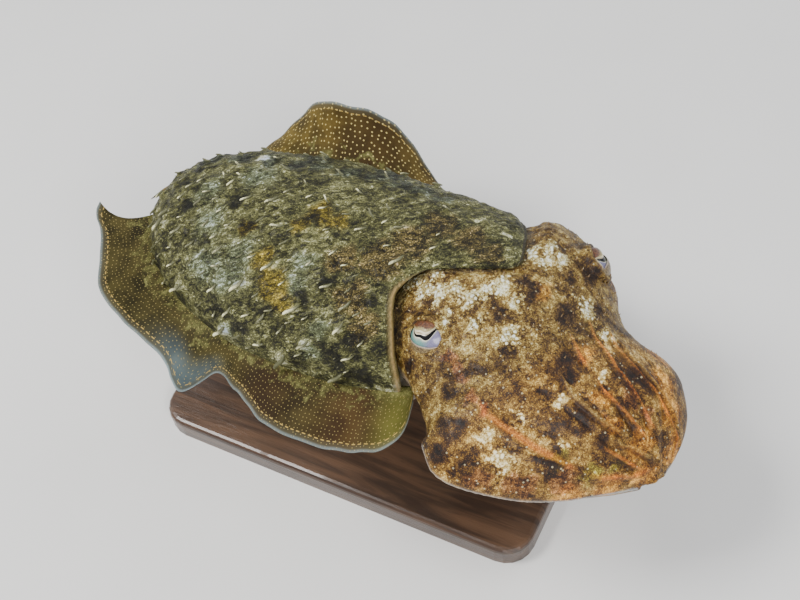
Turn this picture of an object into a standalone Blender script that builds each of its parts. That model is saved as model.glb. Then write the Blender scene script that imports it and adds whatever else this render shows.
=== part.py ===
"""A common cuttlefish at life size, hovering with its head turned to its right,
held over a plain flat base by two short rods.

The animal's head is towards -Y, its right side towards -X. Z = 0 is the table
under the base, and the origin is the middle of the base's underside.
"""
import math
import random

import bmesh
import bpy
import numpy as np
from mathutils import Matrix, Vector

MM = 0.001
GAP = 0.3 * MM          # clear space kept between parts that touch
SEED = 41

# Place of the body's own frame: middle of the mantle, level of the fins
BODY_PLACE = Vector((6, 26, 92)) * MM

# Mantle: place along the body, half width, height of the back, depth of the belly,
# and sideways shift of the middle
MANTLE_STATIONS = (
    (-100, 38.0, 33.0, 22.0, 0.0),
    (-80, 47.4, 35.0, 25.0, 0.0),
    (-60, 52.4, 36.0, 26.0, -2.6),
    (-28, 55.9, 36.5, 25.0, -5.0),
    (9, 55.2, 35.5, 23.0, -4.8),
    (45, 47.7, 31.0, 18.5, -3.4),
    (68, 37.0, 24.5, 13.0, -1.6),
    (82, 25.0, 16.5, 8.0, 0.0),
    (90, 12.0, 8.0, 4.0, 0.0),
)
MANTLE_FRONT = -65.0
MANTLE_TAIL = 92.5
# Front edge: angle round the mantle (0 is the left side, 90 the back), and place
FRONT_EDGE = (
    (0, -77.0), (24, -82.5), (47, -91.0), (61, -94.3), (77, -97.2), (83, -95.7),
    (87, -93.0), (91, -88.3), (95, -80.5), (98, -71.5), (101, -62.8), (105, -58.2),
    (110, -54.6), (116, -52.9), (125, -54.7), (137, -58.1), (149, -60.8), (165, -64.0),
    (200, -66.5), (225, -70.0), (270, -75.0), (315, -77.0), (360, -77.0),
)
FRONT_FADE = 0.35        # share of the mantle over which the edge's outline fades
MANTLE_ANGLES = (
    0, 12, 24, 36, 48, 58, 68, 77, 83, 87, 91, 95, 98, 101, 105, 110, 116, 125, 137,
    149, 160, 170, 180, 192, 206, 222, 240, 258, 276, 294, 312, 330, 346,
)
# Inner wall of the mantle's opening: share of the outline, and place behind the edge
OPENING_RINGS = ((0.55, 9.0), (0.86, 6.5), (0.94, 2.0), (0.975, 0.3))
MANTLE_RINGS = 21
BELLY_POWER = 0.85

# Head: its frame in the body, then place, half width, level of the widest line,
# top, bottom, width of the thin lower flange that runs on into the fourth arms,
# and sideways shift of the middle
HEAD_PLACE = Vector((8.6, -83.7, 10.8)) * MM
HEAD_TURN = -34.0
HEAD_NOD = 2.0
HEAD_ROLL = 8.0
CROWN_STATIONS = (
    (19, 31.0, -4.0, 12.0, -13.0, 0.5, -1.8),
    (17, 41.0, -5.0, 19.0, -18.0, 0.5, -1.8),
    (13, 47.5, -6.0, 23.5, -21.0, 0.6, -2.0),
    (8, 51.0, -7.0, 25.5, -23.0, 0.8, -2.5),
    (0, 53.0, -8.0, 26.0, -24.0, 1.0, -3.0),
    (-14, 54.0, -9.0, 24.5, -25.5, 1.2, -4.0),
    (-26, 52.8, -10.0, 23.0, -26.0, 2.0, -6.7),
    (-38, 51.3, -12.5, 20.5, -27.0, 6.0, -9.7),
    (-50, 54.5, -15.0, 17.5, -28.0, 12.0, -12.0),
    (-60, 58.3, -17.0, 14.5, -29.0, 17.0, -10.2),
    (-70, 56.5, -18.0, 11.0, -30.0, 17.0, -6.5),
    (-80, 49.3, -19.5, 6.5, -31.5, 15.0, -2.7),
    (-88, 41.2, -21.0, 0.5, -32.0, 12.0, 0.7),
    (-95, 30.0, -22.0, -6.5, -32.0, 8.0, 4.5),
    (-100, 18.0, -23.5, -14.5, -31.0, 4.0, 9.5),
    (-104, 8.5, -24.5, -20.5, -29.0, 1.5, 13.0),
)
CROWN_START = -50.0     # the arms begin at this place in the head's frame
UPPER_ROUND = 1.65
LOWER_ROUND = 2.5
FLANGE_THICKNESS = 2.0
HEAD_SIDES = 40
NECK_SIDES = 24
HEAD_REAR = Vector((1.2, 20, -2))
TUCK_DEPTH = 3.2         # the head lies this far under the mantle behind its front edge
TUCK_BLEND = 7.0         # and starts to sink this far in front of the edge
NECK_END = Vector((-1, -42, 6)) * MM
NECK_SIZES = ((0.0, 33, 14, -19), (0.25, 31, 13.5, -18.5), (0.5, 30.5, 13, -18),
              (0.75, 30.5, 13, -17.5), (1.0, 30.5, 13, -17))

# Eyes, in the head's frame; the right one mirrors the left one about the shifted middle
EYE_PLACE = Vector((41.3, -15.2, 6.3)) * MM
EYE_SHIFT = -3.0 * MM
EYE_AXIS = Vector((0.72, -0.18, 0.67)).normalized()
EYE_RADIUS = 11.0
EYE_DEPTH = 4.6
EYE_ROLL = 22.0          # the lids and the pupil are turned back about the eye's axis
ORBIT_SWELL = 3.5
ORBIT_REACH = 19.0
LID_RADII = (8.6, 7.9)  # across and up
LID_HEIGHT = 7.9
LID_THICKNESS = 1.5
LID_UPPER_EXTRA = 0.9
LID_COUNTS = (20, 5)     # points round the eye and round the rim
PUPIL_SPAN = 5.2
PUPIL_HALF_WIDTH = 0.75
PUPIL_RELIEF = 0.3

# Mouth between the arms: radius and height of each turn, in mm
MOUTH_PLACE = Vector((-9, -49, -6)) * MM
MOUTH_PROFILE = ((9.0, 0.0), (9.5, 3.0), (8.0, 4.8), (5.8, 4.2), (4.2, 3.4), (3.0, 4.8))
BEAK_HEIGHT = 6.6

# Arms: share of the crown's upper half ring that each arm spans, and its end
ARM_SPANS = ((0.0, 0.17), (0.17, 0.365), (0.365, 0.56))
ARM_GATHER = 0.35        # how much the upper arms draw together towards their tips
ARM_ENDS = (-101.5, -102.5, -103.0, -103.6)
ARM_THICKNESS = (9.0, 9.5, 10.0, 8.0)
ARM_TIP = 1.4
ARM_RINGS = 14
ARM_BULGE = 1.2
SUCKER_PAIRS = 7
SUCKER_SIDES = 6
SUCKER_RADIUS = 1.5
SUCKER_ROOT = 0.7

# Large papillae of the mantle: place, angle round it, height; each has a lower
# counterpart on the left side
PAPILLA_SPOTS = (
    (72, 132, 4.6), (50, 161, 5.2), (22, 171, 5.4), (13, 168, 3.6), (-11, 171, 5.2),
    (-37, 171, 4.6), (17, 137, 4.4), (6, 122, 4.4), (-12, 138, 4.2), (-35, 140, 3.8),
    (-21, 154, 4.4), (33, 124, 2.8), (56, 103, 2.8), (46, 84, 2.6),
)
PAPILLA_SLIMNESS = 0.42  # radius of a papilla's root as a share of its height
LEFT_PAPILLA = 0.6       # height of a left papilla as a share of its counterpart
LEFT_LOWEST = 24         # the raised left fin leaves its papillae above this angle
PAPILLA_SIDES = 5
PAPILLA_ROOT = 1.6
SMALL_PAPILLAE = 12
# Papillae above each eye: place in the head, share of the way round, height
BROW_PAPILLAE = ((-8, 0.34, 3.0), (-15, 0.3, 3.4), (-23, 0.33, 2.8))
HEAD_PAPILLAE = 10

# Fins: place of the root along the body and width, for the left and the right side
FIN_WIDTHS = {
    1: ((-74, 6), (-60, 15), (-44, 20), (-28, 24), (-10, 28), (10, 31), (30, 32),
        (50, 30), (65, 27), (80, 24), (88, 20), (91, 16)),
    -1: ((-70, 4), (-68, 16), (-64, 24), (-58, 28), (-44, 30), (-28, 29), (-14, 26.5),
         (-6, 22), (2, 18), (10, 16.5), (18, 16.5), (23, 19), (27, 26), (31, 33), (34, 30),
         (37, 25.5), (41, 23.5), (47, 24), (57, 26.5), (72, 28.5), (82, 25), (88, 26),
         (91, 31)),
}
FIN_ROOT = 2.6
FIN_ROOT_END = 1.5
FIN_EDGE = 0.8
FIN_SPLIT = 0.52
FIN_COUNTS = (6, 22)     # steps across a fin and along each half of it
# Rear ends of the fins: place where the corner starts to sweep back, how far its tip
# goes, and how deep the rear edge is hollowed on the left and the right side
FIN_CORNER = 82
FIN_CORNER_TIP = 5.5
FIN_CORNER_HOLLOW = {1: 0, -1: 5.0}

# Funnel: its two ends in the body's frame, then share of its length and radius, up the
# outside to the rim and back inside
FUNNEL_ENDS = (Vector((6, -56, -18)) * MM, Vector((-4, -104, -24)) * MM)
FUNNEL_PROFILE = ((0.0, 9.5), (0.3, 10.5), (0.6, 9.5), (0.85, 7.5), (1.0, 6.0),
                  (1.0, 4.6), (0.75, 4.2))
FUNNEL_SIDES = 18

# Stand
BASE_SIZE = Vector((130, 200, 12)) * MM
BASE_BEVEL = 2.5 * MM
BASE_CORNER = 14 * MM
ROD_RADIUS = 4.0 * MM
ROD_PLACES = (("stand_rod_front", -34.0), ("stand_rod_rear", 42.0))

FINISHES = {
    "mantle": ((0.115, 0.098, 0.062), 0.55, 0.0),
    "fin": ((0.20, 0.17, 0.10), 0.45, 0.0),
    "head": ((0.17, 0.11, 0.055), 0.5, 0.0),
    "arm": ((0.20, 0.12, 0.055), 0.5, 0.0),
    "eye": ((0.30, 0.38, 0.40), 0.12, 0.0),
    "funnel": ((0.36, 0.31, 0.26), 0.5, 0.0),
    "base": ((0.09, 0.055, 0.035), 0.4, 0.0),
    "rod": ((0.55, 0.56, 0.57), 0.3, 1.0),
}


def clear_scene():
    for thing in list(bpy.data.objects):
        bpy.data.objects.remove(thing, do_unlink=True)


def turn(axis, degrees):
    return Matrix.Rotation(math.radians(degrees), 4, axis)


BODY = Matrix.Translation(BODY_PLACE)
HEAD_IN_BODY = (Matrix.Translation(HEAD_PLACE) @ turn("Z", HEAD_TURN)
                @ turn("X", HEAD_NOD) @ turn("Y", HEAD_ROLL))
HEAD = BODY @ HEAD_IN_BODY


def finish(thing, kind):
    """Give a piece its material."""
    colour, roughness, metallic = FINISHES[kind]
    name = kind + "_finish"
    material = bpy.data.materials.get(name)
    if material is None:
        material = bpy.data.materials.new(name)
        material.use_nodes = True
        shader = material.node_tree.nodes["Principled BSDF"]
        shader.inputs["Base Color"].default_value = (*colour, 1.0)
        shader.inputs["Roughness"].default_value = roughness
        shader.inputs["Metallic"].default_value = metallic
        material.diffuse_color = (*colour, 1.0)
    thing.data.materials.clear()
    thing.data.materials.append(material)
    return thing


def smooth_table(table, column, place):
    """Read one column of a table of stations on a smooth curve."""
    places = [row[0] for row in table]
    values = [row[column] for row in table]
    if places[0] > places[-1]:
        places.reverse()
        values.reverse()
    slopes = []
    last = len(places) - 1
    for i in range(len(places)):
        a, b = max(i - 1, 0), min(i + 1, last)
        slopes.append((values[b] - values[a]) / (places[b] - places[a]))
    place = min(max(place, places[0]), places[-1])
    i = min(max(int(np.searchsorted(places, place)) - 1, 0), last - 1)
    span = places[i + 1] - places[i]
    t = (place - places[i]) / span
    keep = (2 * t ** 3 - 3 * t ** 2 + 1) * values[i] + (3 * t ** 2 - 2 * t ** 3) * values[i + 1]
    lean = (t ** 3 - 2 * t ** 2 + t) * slopes[i] + (t ** 3 - t ** 2) * slopes[i + 1]
    return keep + lean * span


def hump(value, middle, reach):
    """A smooth rise of height 1 about a middle."""
    return math.exp(-((value - middle) / reach) ** 2)


def mesh_object(name, mesh):
    """Turn a bmesh into an object with its faces pointing out."""
    bmesh.ops.recalc_face_normals(mesh, faces=mesh.faces)
    if mesh.calc_volume(signed=True) < 0:
        bmesh.ops.reverse_faces(mesh, faces=mesh.faces)
    data = bpy.data.meshes.new(name)
    mesh.to_mesh(data)
    mesh.free()
    thing = bpy.data.objects.new(name, data)
    bpy.context.scene.collection.objects.link(thing)
    return thing


def loft(name, rings, tip_start=None, tip_end=None):
    """Close a row of rings, each of the same count of points, into one solid."""
    mesh = bmesh.new()
    loops = [[mesh.verts.new(point) for point in ring] for ring in rings]
    count = len(loops[0])
    for here, ahead in zip(loops, loops[1:]):
        for i in range(count):
            j = (i + 1) % count
            mesh.faces.new((here[i], here[j], ahead[j], ahead[i]))
    for loop, tip in ((loops[0], tip_start), (loops[-1], tip_end)):
        if tip is None:
            mesh.faces.new(loop)
            continue
        point = mesh.verts.new(tip)
        for i in range(count):
            mesh.faces.new((loop[i], loop[(i + 1) % count], point))
    bmesh.ops.recalc_face_normals(mesh, faces=mesh.faces)
    bmesh.ops.triangulate(mesh, faces=mesh.faces)
    return mesh_object(name, mesh)


def moved(points, frame):
    return [frame @ point for point in points]


def resample(points, count):
    """Space points evenly along a closed ring."""
    ring = list(points) + [points[0]]
    steps = [(b - a).length for a, b in zip(ring, ring[1:])]
    reach = [0.0]
    for step in steps:
        reach.append(reach[-1] + step)
    result = []
    for k in range(count):
        target = reach[-1] * k / count
        i = max(j for j in range(len(steps)) if reach[j] <= target + 1e-12)
        share = (target - reach[i]) / max(steps[i], 1e-9)
        result.append(ring[i].lerp(ring[i + 1], share))
    return result


def active(thing):
    bpy.ops.object.select_all(action="DESELECT")
    thing.select_set(True)
    bpy.context.view_layer.objects.active = thing


def keep_largest(thing):
    """Keep only the largest closed surface of a piece."""
    mesh = bmesh.new()
    mesh.from_mesh(thing.data)
    bmesh.ops.remove_doubles(mesh, verts=mesh.verts, dist=0.002 * MM)
    bmesh.ops.dissolve_degenerate(mesh, dist=0.002 * MM, edges=mesh.edges)
    bmesh.ops.triangulate(mesh, faces=mesh.faces)
    unseen = set(mesh.faces)
    shells = []
    while unseen:
        stack = [unseen.pop()]
        shell = []
        while stack:
            face = stack.pop()
            shell.append(face)
            for edge in face.edges:
                for other in edge.link_faces:
                    if other in unseen:
                        unseen.remove(other)
                        stack.append(other)
        shells.append(shell)
    shells.sort(key=lambda shell: sum(face.calc_area() for face in shell))
    scraps = [face for shell in shells[:-1] for face in shell]
    bmesh.ops.delete(mesh, geom=scraps, context="FACES")
    mesh.to_mesh(thing.data)
    mesh.free()


def combine(thing, pieces, operation, solver="EXACT"):
    """Fuse or cut a piece with a list of closed pieces, and remove them."""
    group = bpy.data.collections.new("pieces")
    bpy.context.scene.collection.children.link(group)
    for piece in pieces:
        bpy.context.scene.collection.objects.unlink(piece)
        group.objects.link(piece)
    change = thing.modifiers.new("Change", "BOOLEAN")
    change.operation = operation
    change.solver = solver
    change.operand_type = "COLLECTION"
    change.collection = group
    active(thing)
    bpy.ops.object.modifier_apply(modifier=change.name)
    for piece in list(group.objects):
        bpy.data.objects.remove(piece, do_unlink=True)
    bpy.data.collections.remove(group)
    keep_largest(thing)


def swollen(thing, amount):
    """A copy of a piece, larger by a small amount all round."""
    copy = thing.copy()
    copy.data = thing.data.copy()
    copy.name = thing.name + "_room"
    bpy.context.scene.collection.objects.link(copy)
    mesh = bmesh.new()
    mesh.from_mesh(copy.data)
    mesh.normal_update()
    shifts = [(vert, vert.normal * amount) for vert in mesh.verts]
    for vert, shift in shifts:
        vert.co += shift
    mesh.to_mesh(copy.data)
    mesh.free()
    return copy


def mantle_front(angle):
    """Place of the mantle's front edge at an angle round it."""
    return smooth_table(FRONT_EDGE, 1, angle % 360)


def mantle_size(place):
    """Half width, height of the back, depth of the belly and shift at a place."""
    return [smooth_table(MANTLE_STATIONS, column, place) for column in range(1, 5)]


def mantle_point(share, angle):
    """A point of the mantle's skin in the body's frame, from front (0) to tail (1)."""
    place = MANTLE_FRONT + (MANTLE_TAIL - MANTLE_FRONT) * share
    fade = max(0.0, 1 - share / FRONT_FADE) ** 2
    place += (mantle_front(angle) - MANTLE_FRONT) * fade
    half, back, belly, shift = mantle_size(place)
    side, up = math.cos(math.radians(angle)), math.sin(math.radians(angle))
    height = back * up if up > 0 else -belly * abs(up) ** BELLY_POWER
    return Vector((shift + half * side, place, height)) * MM


def mantle_solid():
    """The mantle with a shallow recess inside its front edge, for the neck."""
    rings = []
    for inset, back_off in OPENING_RINGS:
        ring = []
        for angle in MANTLE_ANGLES:
            point = mantle_point(0.0, angle)
            middle = Vector((0, point.y, 0))
            point = middle.lerp(point, inset)
            point.y += back_off * MM
            if back_off > 5:
                point.y = max(point.y, (MANTLE_FRONT + back_off) * MM)
            ring.append(point)
        rings.append(moved(ring, BODY))
    for k in range(MANTLE_RINGS):
        share = 0.985 * (k / (MANTLE_RINGS - 1)) ** 0.92
        rings.append(moved([mantle_point(share, angle) for angle in MANTLE_ANGLES], BODY))
    start = BODY @ Vector((0, (MANTLE_FRONT + 10) * MM, 0))
    tail = BODY @ Vector((0, MANTLE_TAIL * MM, 0))
    return loft("mantle", rings, tip_start=start, tip_end=tail)


def crown_size(place):
    """Half width, widest level, top, bottom and flange width at a place in the head."""
    return [smooth_table(CROWN_STATIONS, column, place) for column in range(1, 6)]


def upper_point(place, share):
    """A point of the crown's upper half ring; 0 is the top, 1 the widest line."""
    half, level, top, _, _ = crown_size(place)
    angle = share * math.pi / 2
    power = 2 / UPPER_ROUND
    side = half * math.sin(angle) ** power
    height = level + (top - level) * max(math.cos(angle), 0.0) ** power
    return Vector((side, place, height)) * MM


def lower_point(place, share, inset=0.0):
    """A point of the crown's underside; 0 is next to the flange, 1 the middle below."""
    half, level, _, bottom, flange = crown_size(place)
    angle = share * math.pi / 2
    power = 2 / LOWER_ROUND
    start = level - FLANGE_THICKNESS
    side = (half - flange - inset) * max(math.cos(angle), 0.0) ** power
    height = start + (bottom + inset - start) * math.sin(angle) ** power
    return Vector((side, place, height)) * MM


def settle(point, side):
    """Mirror a point of the left half to its side and shift it with the crown's bend."""
    shift = smooth_table(CROWN_STATIONS, 6, point.y / MM) * MM
    return Vector((point.x * side + shift, point.y, point.z))


def shape_head(point):
    """Swell the orbits."""
    centre = EYE_PLACE - EYE_AXIS * (EYE_DEPTH + 7) * MM
    for side in (1, -1):
        middle = Vector((centre.x * side + EYE_SHIFT, centre.y, centre.z))
        away = point - middle
        rise = ORBIT_SWELL * hump(away.length / MM, 0, ORBIT_REACH)
        point = point + away.normalized() * rise * MM
    return tuck(point)


def tuck(point):
    """Sink a point of the head under the mantle where it lies behind the front edge."""
    spot = (HEAD_IN_BODY @ point) / MM
    half, back, belly, shift = mantle_size(spot.y)
    height = back if spot.z > 0 else belly
    across = spot.x - shift
    angle = math.degrees(math.atan2(spot.z / height, across / half))
    size = math.hypot(across / half, spot.z / height)
    limit = 1 - TUCK_DEPTH * size / math.hypot(across, spot.z)
    if size <= limit:
        return point
    under = min(max((spot.y - mantle_front(angle)) / TUCK_BLEND + 1, 0.0), 1.0)
    under = under ** 2 * (3 - 2 * under)
    shrink = 1 + (limit - size) / size * 0.9 * under
    sunk = Vector((shift + across * shrink, spot.y, spot.z * shrink)) * MM
    return HEAD_IN_BODY.inverted() @ sunk


def whole_ring(place, count):
    """The head's outline at a place, evenly spaced from the top round the left side."""
    half = [upper_point(place, k / 16) for k in range(17)]
    half += [lower_point(place, k / 12) for k in range(13)]
    ring = [settle(point, 1) for point in half]
    ring += [settle(point, -1) for point in reversed(half[1:-1])]
    return [shape_head(point) for point in resample(ring, count)]


def neck_solid():
    """The neck bends from the head's frame into the mantle's opening."""
    start = HEAD_IN_BODY @ Vector((0, 0, 0))
    lean = HEAD_IN_BODY.to_3x3() @ Vector((0, 1, 0))
    reach = (NECK_END - start).length
    rings = []
    for share, half, top, bottom in NECK_SIZES:
        first = start + lean * reach * share
        last = NECK_END - Vector((0, 1, 0)) * reach * (1 - share)
        centre = first.lerp(last, share)
        frame = BODY @ Matrix.Translation(centre) @ turn("Z", HEAD_TURN * (1 - share))
        ring = []
        for k in range(NECK_SIDES):
            angle = 2 * math.pi * k / NECK_SIDES
            height = math.cos(angle) * (top if math.cos(angle) > 0 else -bottom)
            ring.append(Vector((half * math.sin(angle), 0, height)) * MM)
        rings.append(moved(ring, frame))
    return loft("neck", rings)


def crown_solid():
    """The head from its rounded rear to the face that carries the arms."""
    places = (19, 17.5, 14.5, 10, 5, 0, -5, -10, -15, -21, -27, -34, -42, -50)
    rings = [moved(whole_ring(place, HEAD_SIDES), HEAD) for place in places]
    return loft("head", rings, tip_start=HEAD @ (HEAD_REAR * MM))


def ball(name, centre, radius, rings=11, sides=16):
    mesh = bmesh.new()
    bmesh.ops.create_uvsphere(mesh, u_segments=sides, v_segments=rings, radius=radius)
    bmesh.ops.translate(mesh, verts=mesh.verts, vec=centre)
    bmesh.ops.triangulate(mesh, faces=mesh.faces)
    return mesh_object(name, mesh)


def eye_frame(side):
    """Frame of an eye: Z looks out of the socket, Y is up along the lid."""
    place = Vector((EYE_PLACE.x * side + EYE_SHIFT, EYE_PLACE.y, EYE_PLACE.z))
    axis = Vector((EYE_AXIS.x * side, EYE_AXIS.y, EYE_AXIS.z))
    across = Vector((0, 0, 1)).cross(axis).normalized()
    up = axis.cross(across)
    turned = Matrix((across, up, axis)).transposed().to_4x4()
    centre = Matrix.Translation(place - axis * EYE_DEPTH * MM)
    return HEAD @ centre @ turned @ turn("Z", -EYE_ROLL * side)


def pupil_solid(side):
    """The curved, double-lobed pupil, as a low strip raised on the ball."""
    steps = 12
    rings = []
    for k in range(steps + 1):
        t = -1 + 2 * k / steps
        x = t * PUPIL_SPAN
        y = 2.6 * t * t + 0.7 * math.cos(2 * math.pi * t) - 2.2
        half = PUPIL_HALF_WIDTH * (0.35 + 0.65 * math.cos(t * math.pi / 2))
        ring = []
        corners = ((-1.0, -half), (-1.0, half), (PUPIL_RELIEF, half), (PUPIL_RELIEF, -half))
        for rise, shift in corners:
            way = Vector((x, y + shift, 0))
            way.z = math.sqrt(EYE_RADIUS ** 2 - way.x ** 2 - way.y ** 2)
            ring.append(way.normalized() * (EYE_RADIUS + rise) * MM)
        rings.append(moved(ring, eye_frame(side)))
    return loft("pupil", rings)


def lid_solid(side):
    """The rim of skin round the eye, thicker above."""
    turns, sides = LID_COUNTS
    rings = []
    for k in range(turns):
        angle = 2 * math.pi * k / turns
        way = Vector((math.cos(angle), math.sin(angle), 0))
        spot = Vector((way.x * LID_RADII[0], way.y * LID_RADII[1], LID_HEIGHT))
        thick = LID_THICKNESS + LID_UPPER_EXTRA * max(0.0, way.y)
        ring = []
        for m in range(sides):
            turn_angle = 2 * math.pi * m / sides
            lift = Vector((0, 0, math.sin(turn_angle)))
            ring.append((spot + (way * math.cos(turn_angle) + lift) * thick) * MM)
        rings.append(moved(ring, eye_frame(side)))
    mesh = bmesh.new()
    loops = [[mesh.verts.new(point) for point in ring] for ring in rings]
    for k in range(turns):
        here, ahead = loops[k], loops[(k + 1) % turns]
        for m in range(sides):
            n = (m + 1) % sides
            mesh.faces.new((here[m], here[n], ahead[n], ahead[m]))
    bmesh.ops.triangulate(mesh, faces=mesh.faces)
    return mesh_object("lid", mesh)


def mouth_solid():
    """Ring of lips with the beak's tip in it, on the face between the arms."""
    rings = []
    for radius, height in MOUTH_PROFILE:
        ring = []
        for k in range(14):
            angle = 2 * math.pi * k / 14
            ring.append(MOUTH_PLACE + Vector((radius * math.cos(angle), -height,
                                              radius * math.sin(angle))) * MM)
        rings.append(moved(ring, HEAD))
    tip = HEAD @ (MOUTH_PLACE + Vector((0, -BEAK_HEIGHT, 0)) * MM)
    return loft("mouth", rings, tip_end=tip)


def papilla(root, normal, lean, height, radius):
    """A soft hooked spike that leans back, with its root sunk in the skin."""
    across = normal.cross(lean).normalized()
    back = across.cross(normal).normalized()
    rings = []
    for rise, hook, size in ((-PAPILLA_ROOT, 0.0, 1.0), (0.45 * height, 0.16 * height, 0.72)):
        centre = root + (normal * rise + back * hook) * MM
        ring = []
        for k in range(PAPILLA_SIDES):
            angle = 2 * math.pi * k / PAPILLA_SIDES
            way = across * math.cos(angle) + back * 0.7 * math.sin(angle)
            ring.append(centre + way * radius * size * MM)
        rings.append(ring)
    tip = root + (normal * 0.9 * height + back * 0.75 * height) * MM
    return loft("papilla", rings, tip_end=tip)


def mantle_papilla(place, angle, height):
    share = (place - MANTLE_FRONT) / (MANTLE_TAIL - MANTLE_FRONT)
    here = mantle_point(share, angle)
    along = mantle_point(share + 0.01, angle) - here
    around = mantle_point(share, angle + 1.5) - here
    normal = along.cross(around).normalized()
    radius = PAPILLA_SLIMNESS * height
    return papilla(BODY @ here, normal, along.normalized(), height, radius)


def mantle_papillae():
    """The large papillae of both sides and small ones between them."""
    draw = random.Random(SEED)
    spots = list(PAPILLA_SPOTS)
    for place, angle, height in PAPILLA_SPOTS:
        mirrored = max(180 - angle, LEFT_LOWEST) + draw.uniform(-2, 2)
        spots.append((place + draw.uniform(-5, 5), mirrored, height * LEFT_PAPILLA))
    while len(spots) < 2 * len(PAPILLA_SPOTS) + SMALL_PAPILLAE:
        place, angle = draw.uniform(-38, 76), draw.uniform(22, 158)
        if all(abs(place - a) > 11 or abs(angle - b) > 9 for a, b, _ in spots):
            spots.append((place, angle, draw.uniform(1.9, 2.8)))
    return [mantle_papilla(*spot) for spot in spots]


def head_papilla(side, place, share, height):
    def at(where, part):
        return shape_head(settle(upper_point(where, part), side))
    here = at(place, share)
    back = at(place + 1.5, share) - here
    around = at(place, share + 0.02) - here
    normal = around.cross(back).normalized() * side
    turned = HEAD.to_3x3()
    return papilla(HEAD @ here, turned @ normal, turned @ back.normalized(), height, 0.5 * height)


def head_papillae():
    """A few papillae above each eye and small ones over the head."""
    draw = random.Random(SEED + 1)
    pieces = []
    for side in (1, -1):
        for place, share, height in BROW_PAPILLAE:
            pieces.append(head_papilla(side, place, share, height))
        for k in range(HEAD_PAPILLAE // 2):
            place = -20 - 27 * (k + draw.random() * 0.5) / (HEAD_PAPILLAE / 2)
            share = 0.06 + 0.17 * ((k * 0.618) % 1)
            pieces.append(head_papilla(side, place, share, draw.uniform(1.6, 2.3)))
    return pieces


def arm_thickness(number, along):
    thick = ARM_THICKNESS[number - 1]
    return ARM_TIP + (thick - ARM_TIP) * (1 - along ** 1.6)


def gathered(share, along):
    """Share of the half ring at which a boundary between arms lies, towards the tips."""
    return share * (1 - ARM_GATHER * along ** 2)


def arm_ring(number, place, along):
    """Cross-section of one of the three upper arms: five outer and five inner points."""
    low, high = (gathered(share, along) for share in ARM_SPANS[number - 1])
    middle = (low + high) / 2
    narrow = min(1.0, (1 - along) / 0.12) ** 0.5
    half_span = (high - low) / 2 * (0.3 + 0.7 * narrow)
    thick = arm_thickness(number, along)
    shares = [middle + half_span * (-1 + k / 2) for k in range(5)]
    faces = [upper_point(place, max(share, 0.0)) for share in shares]
    width = (faces[-1] - faces[0]).length
    outer, inner = [], []
    for k, point in enumerate(faces):
        across = -1 + k / 2
        near = upper_point(place, max(shares[k] - 0.01, 0.0))
        far = upper_point(place, shares[k] + 0.01)
        along_ring = (far - near).normalized()
        out = Vector((-along_ring.z, 0, along_ring.x))
        clear = min(0.3 * width, (GAP / MM * 0.6 + 0.3 * along) * MM)
        pinch = min(0.4 * width, clear + 0.1 * thick * MM)
        bulge = ARM_BULGE * (1 - across ** 2) * narrow - 0.8 * abs(across) ** 3 * narrow
        outer.append(point - along_ring * across * clear + out * bulge * MM)
        inner.append(point - along_ring * across * pinch - out * thick * MM)
    return outer + list(reversed(inner))


def lower_arm_ring(place, along):
    """Cross-section of a fourth arm, with its broad outer keel, thin towards its edge."""
    thick = arm_thickness(4, along)
    start = gathered(ARM_SPANS[2][1], along)
    points = [upper_point(place, start + (1 - start) * k / 5) for k in range(6)]
    points[0] += Vector((0.6, 0, -1.0)) * MM
    points.append(points[-1] + Vector((-0.4, 0, -0.9)) * MM)
    points += [lower_point(place, k / 5 * 0.995) for k in range(6)]
    points += [lower_point(place, 0.995 * (1 - k / 4), thick) for k in range(5)]
    close = max(0.0, (along - 0.86) / 0.14)
    size = math.sqrt(max(0.05, 1 - 0.95 * close ** 2))
    middle = sum(points, Vector()) / len(points)
    return [middle + (point - middle) * size for point in points]


def sucker(root, out, radius):
    """A short cup with its foot sunk in the arm."""
    frame = Matrix.Translation(root) @ out.to_track_quat("Z", "Y").to_matrix().to_4x4()
    rings = []
    for rise, size in ((-SUCKER_ROOT, 0.75 * radius), (0.75 * radius, radius)):
        ring = []
        for k in range(SUCKER_SIDES):
            angle = 2 * math.pi * k / SUCKER_SIDES
            ring.append(Vector((size * math.cos(angle), size * math.sin(angle), rise)) * MM)
        rings.append(moved(ring, frame))
    return loft("sucker", rings, tip_end=frame @ Vector((0, 0, 0.3 * radius * MM)))


def arm_section(number, side, along):
    start = CROWN_START - GAP / MM
    place = start + (ARM_ENDS[number - 1] - start) * along
    if number == 4:
        ring = lower_arm_ring(place, along)
    else:
        ring = arm_ring(number, place, along)
    return moved([settle(point, side) for point in ring], HEAD)


def arm_suckers(number, side):
    """Two rows of suckers on the inner face, smaller towards the tip."""
    middle, beside = (15, 1) if number == 4 else (7, 1)
    pieces = []
    for k in range(2 * SUCKER_PAIRS):
        along = 0.07 + 0.87 * k / (2 * SUCKER_PAIRS - 1)
        here = arm_section(number, side, along)
        ahead = arm_section(number, side, along + 0.02)
        shift = beside if k % 2 else -beside
        root = here[middle].lerp(here[middle + shift], 0.6)
        across = here[middle + 1] - here[middle - 1]
        out = across.cross(ahead[middle] - here[middle]).normalized()
        if out.dot(here[middle] - here[2]) < 0:
            out.negate()
        radius = SUCKER_RADIUS * (1 - 0.68 * along)
        pieces.append(sucker(root, out, radius))
    return pieces


def arm_solid(number, side):
    """One arm: numbers 1 to 3 lie on the crown's upper side, 4 below with its keel."""
    rings = [arm_section(number, side, k / (ARM_RINGS - 1)) for k in range(ARM_RINGS)]
    arm = loft("arm_%s_%d" % ("left" if side > 0 else "right", number), rings)
    combine(arm, arm_suckers(number, side), "UNION")
    return arm


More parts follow.
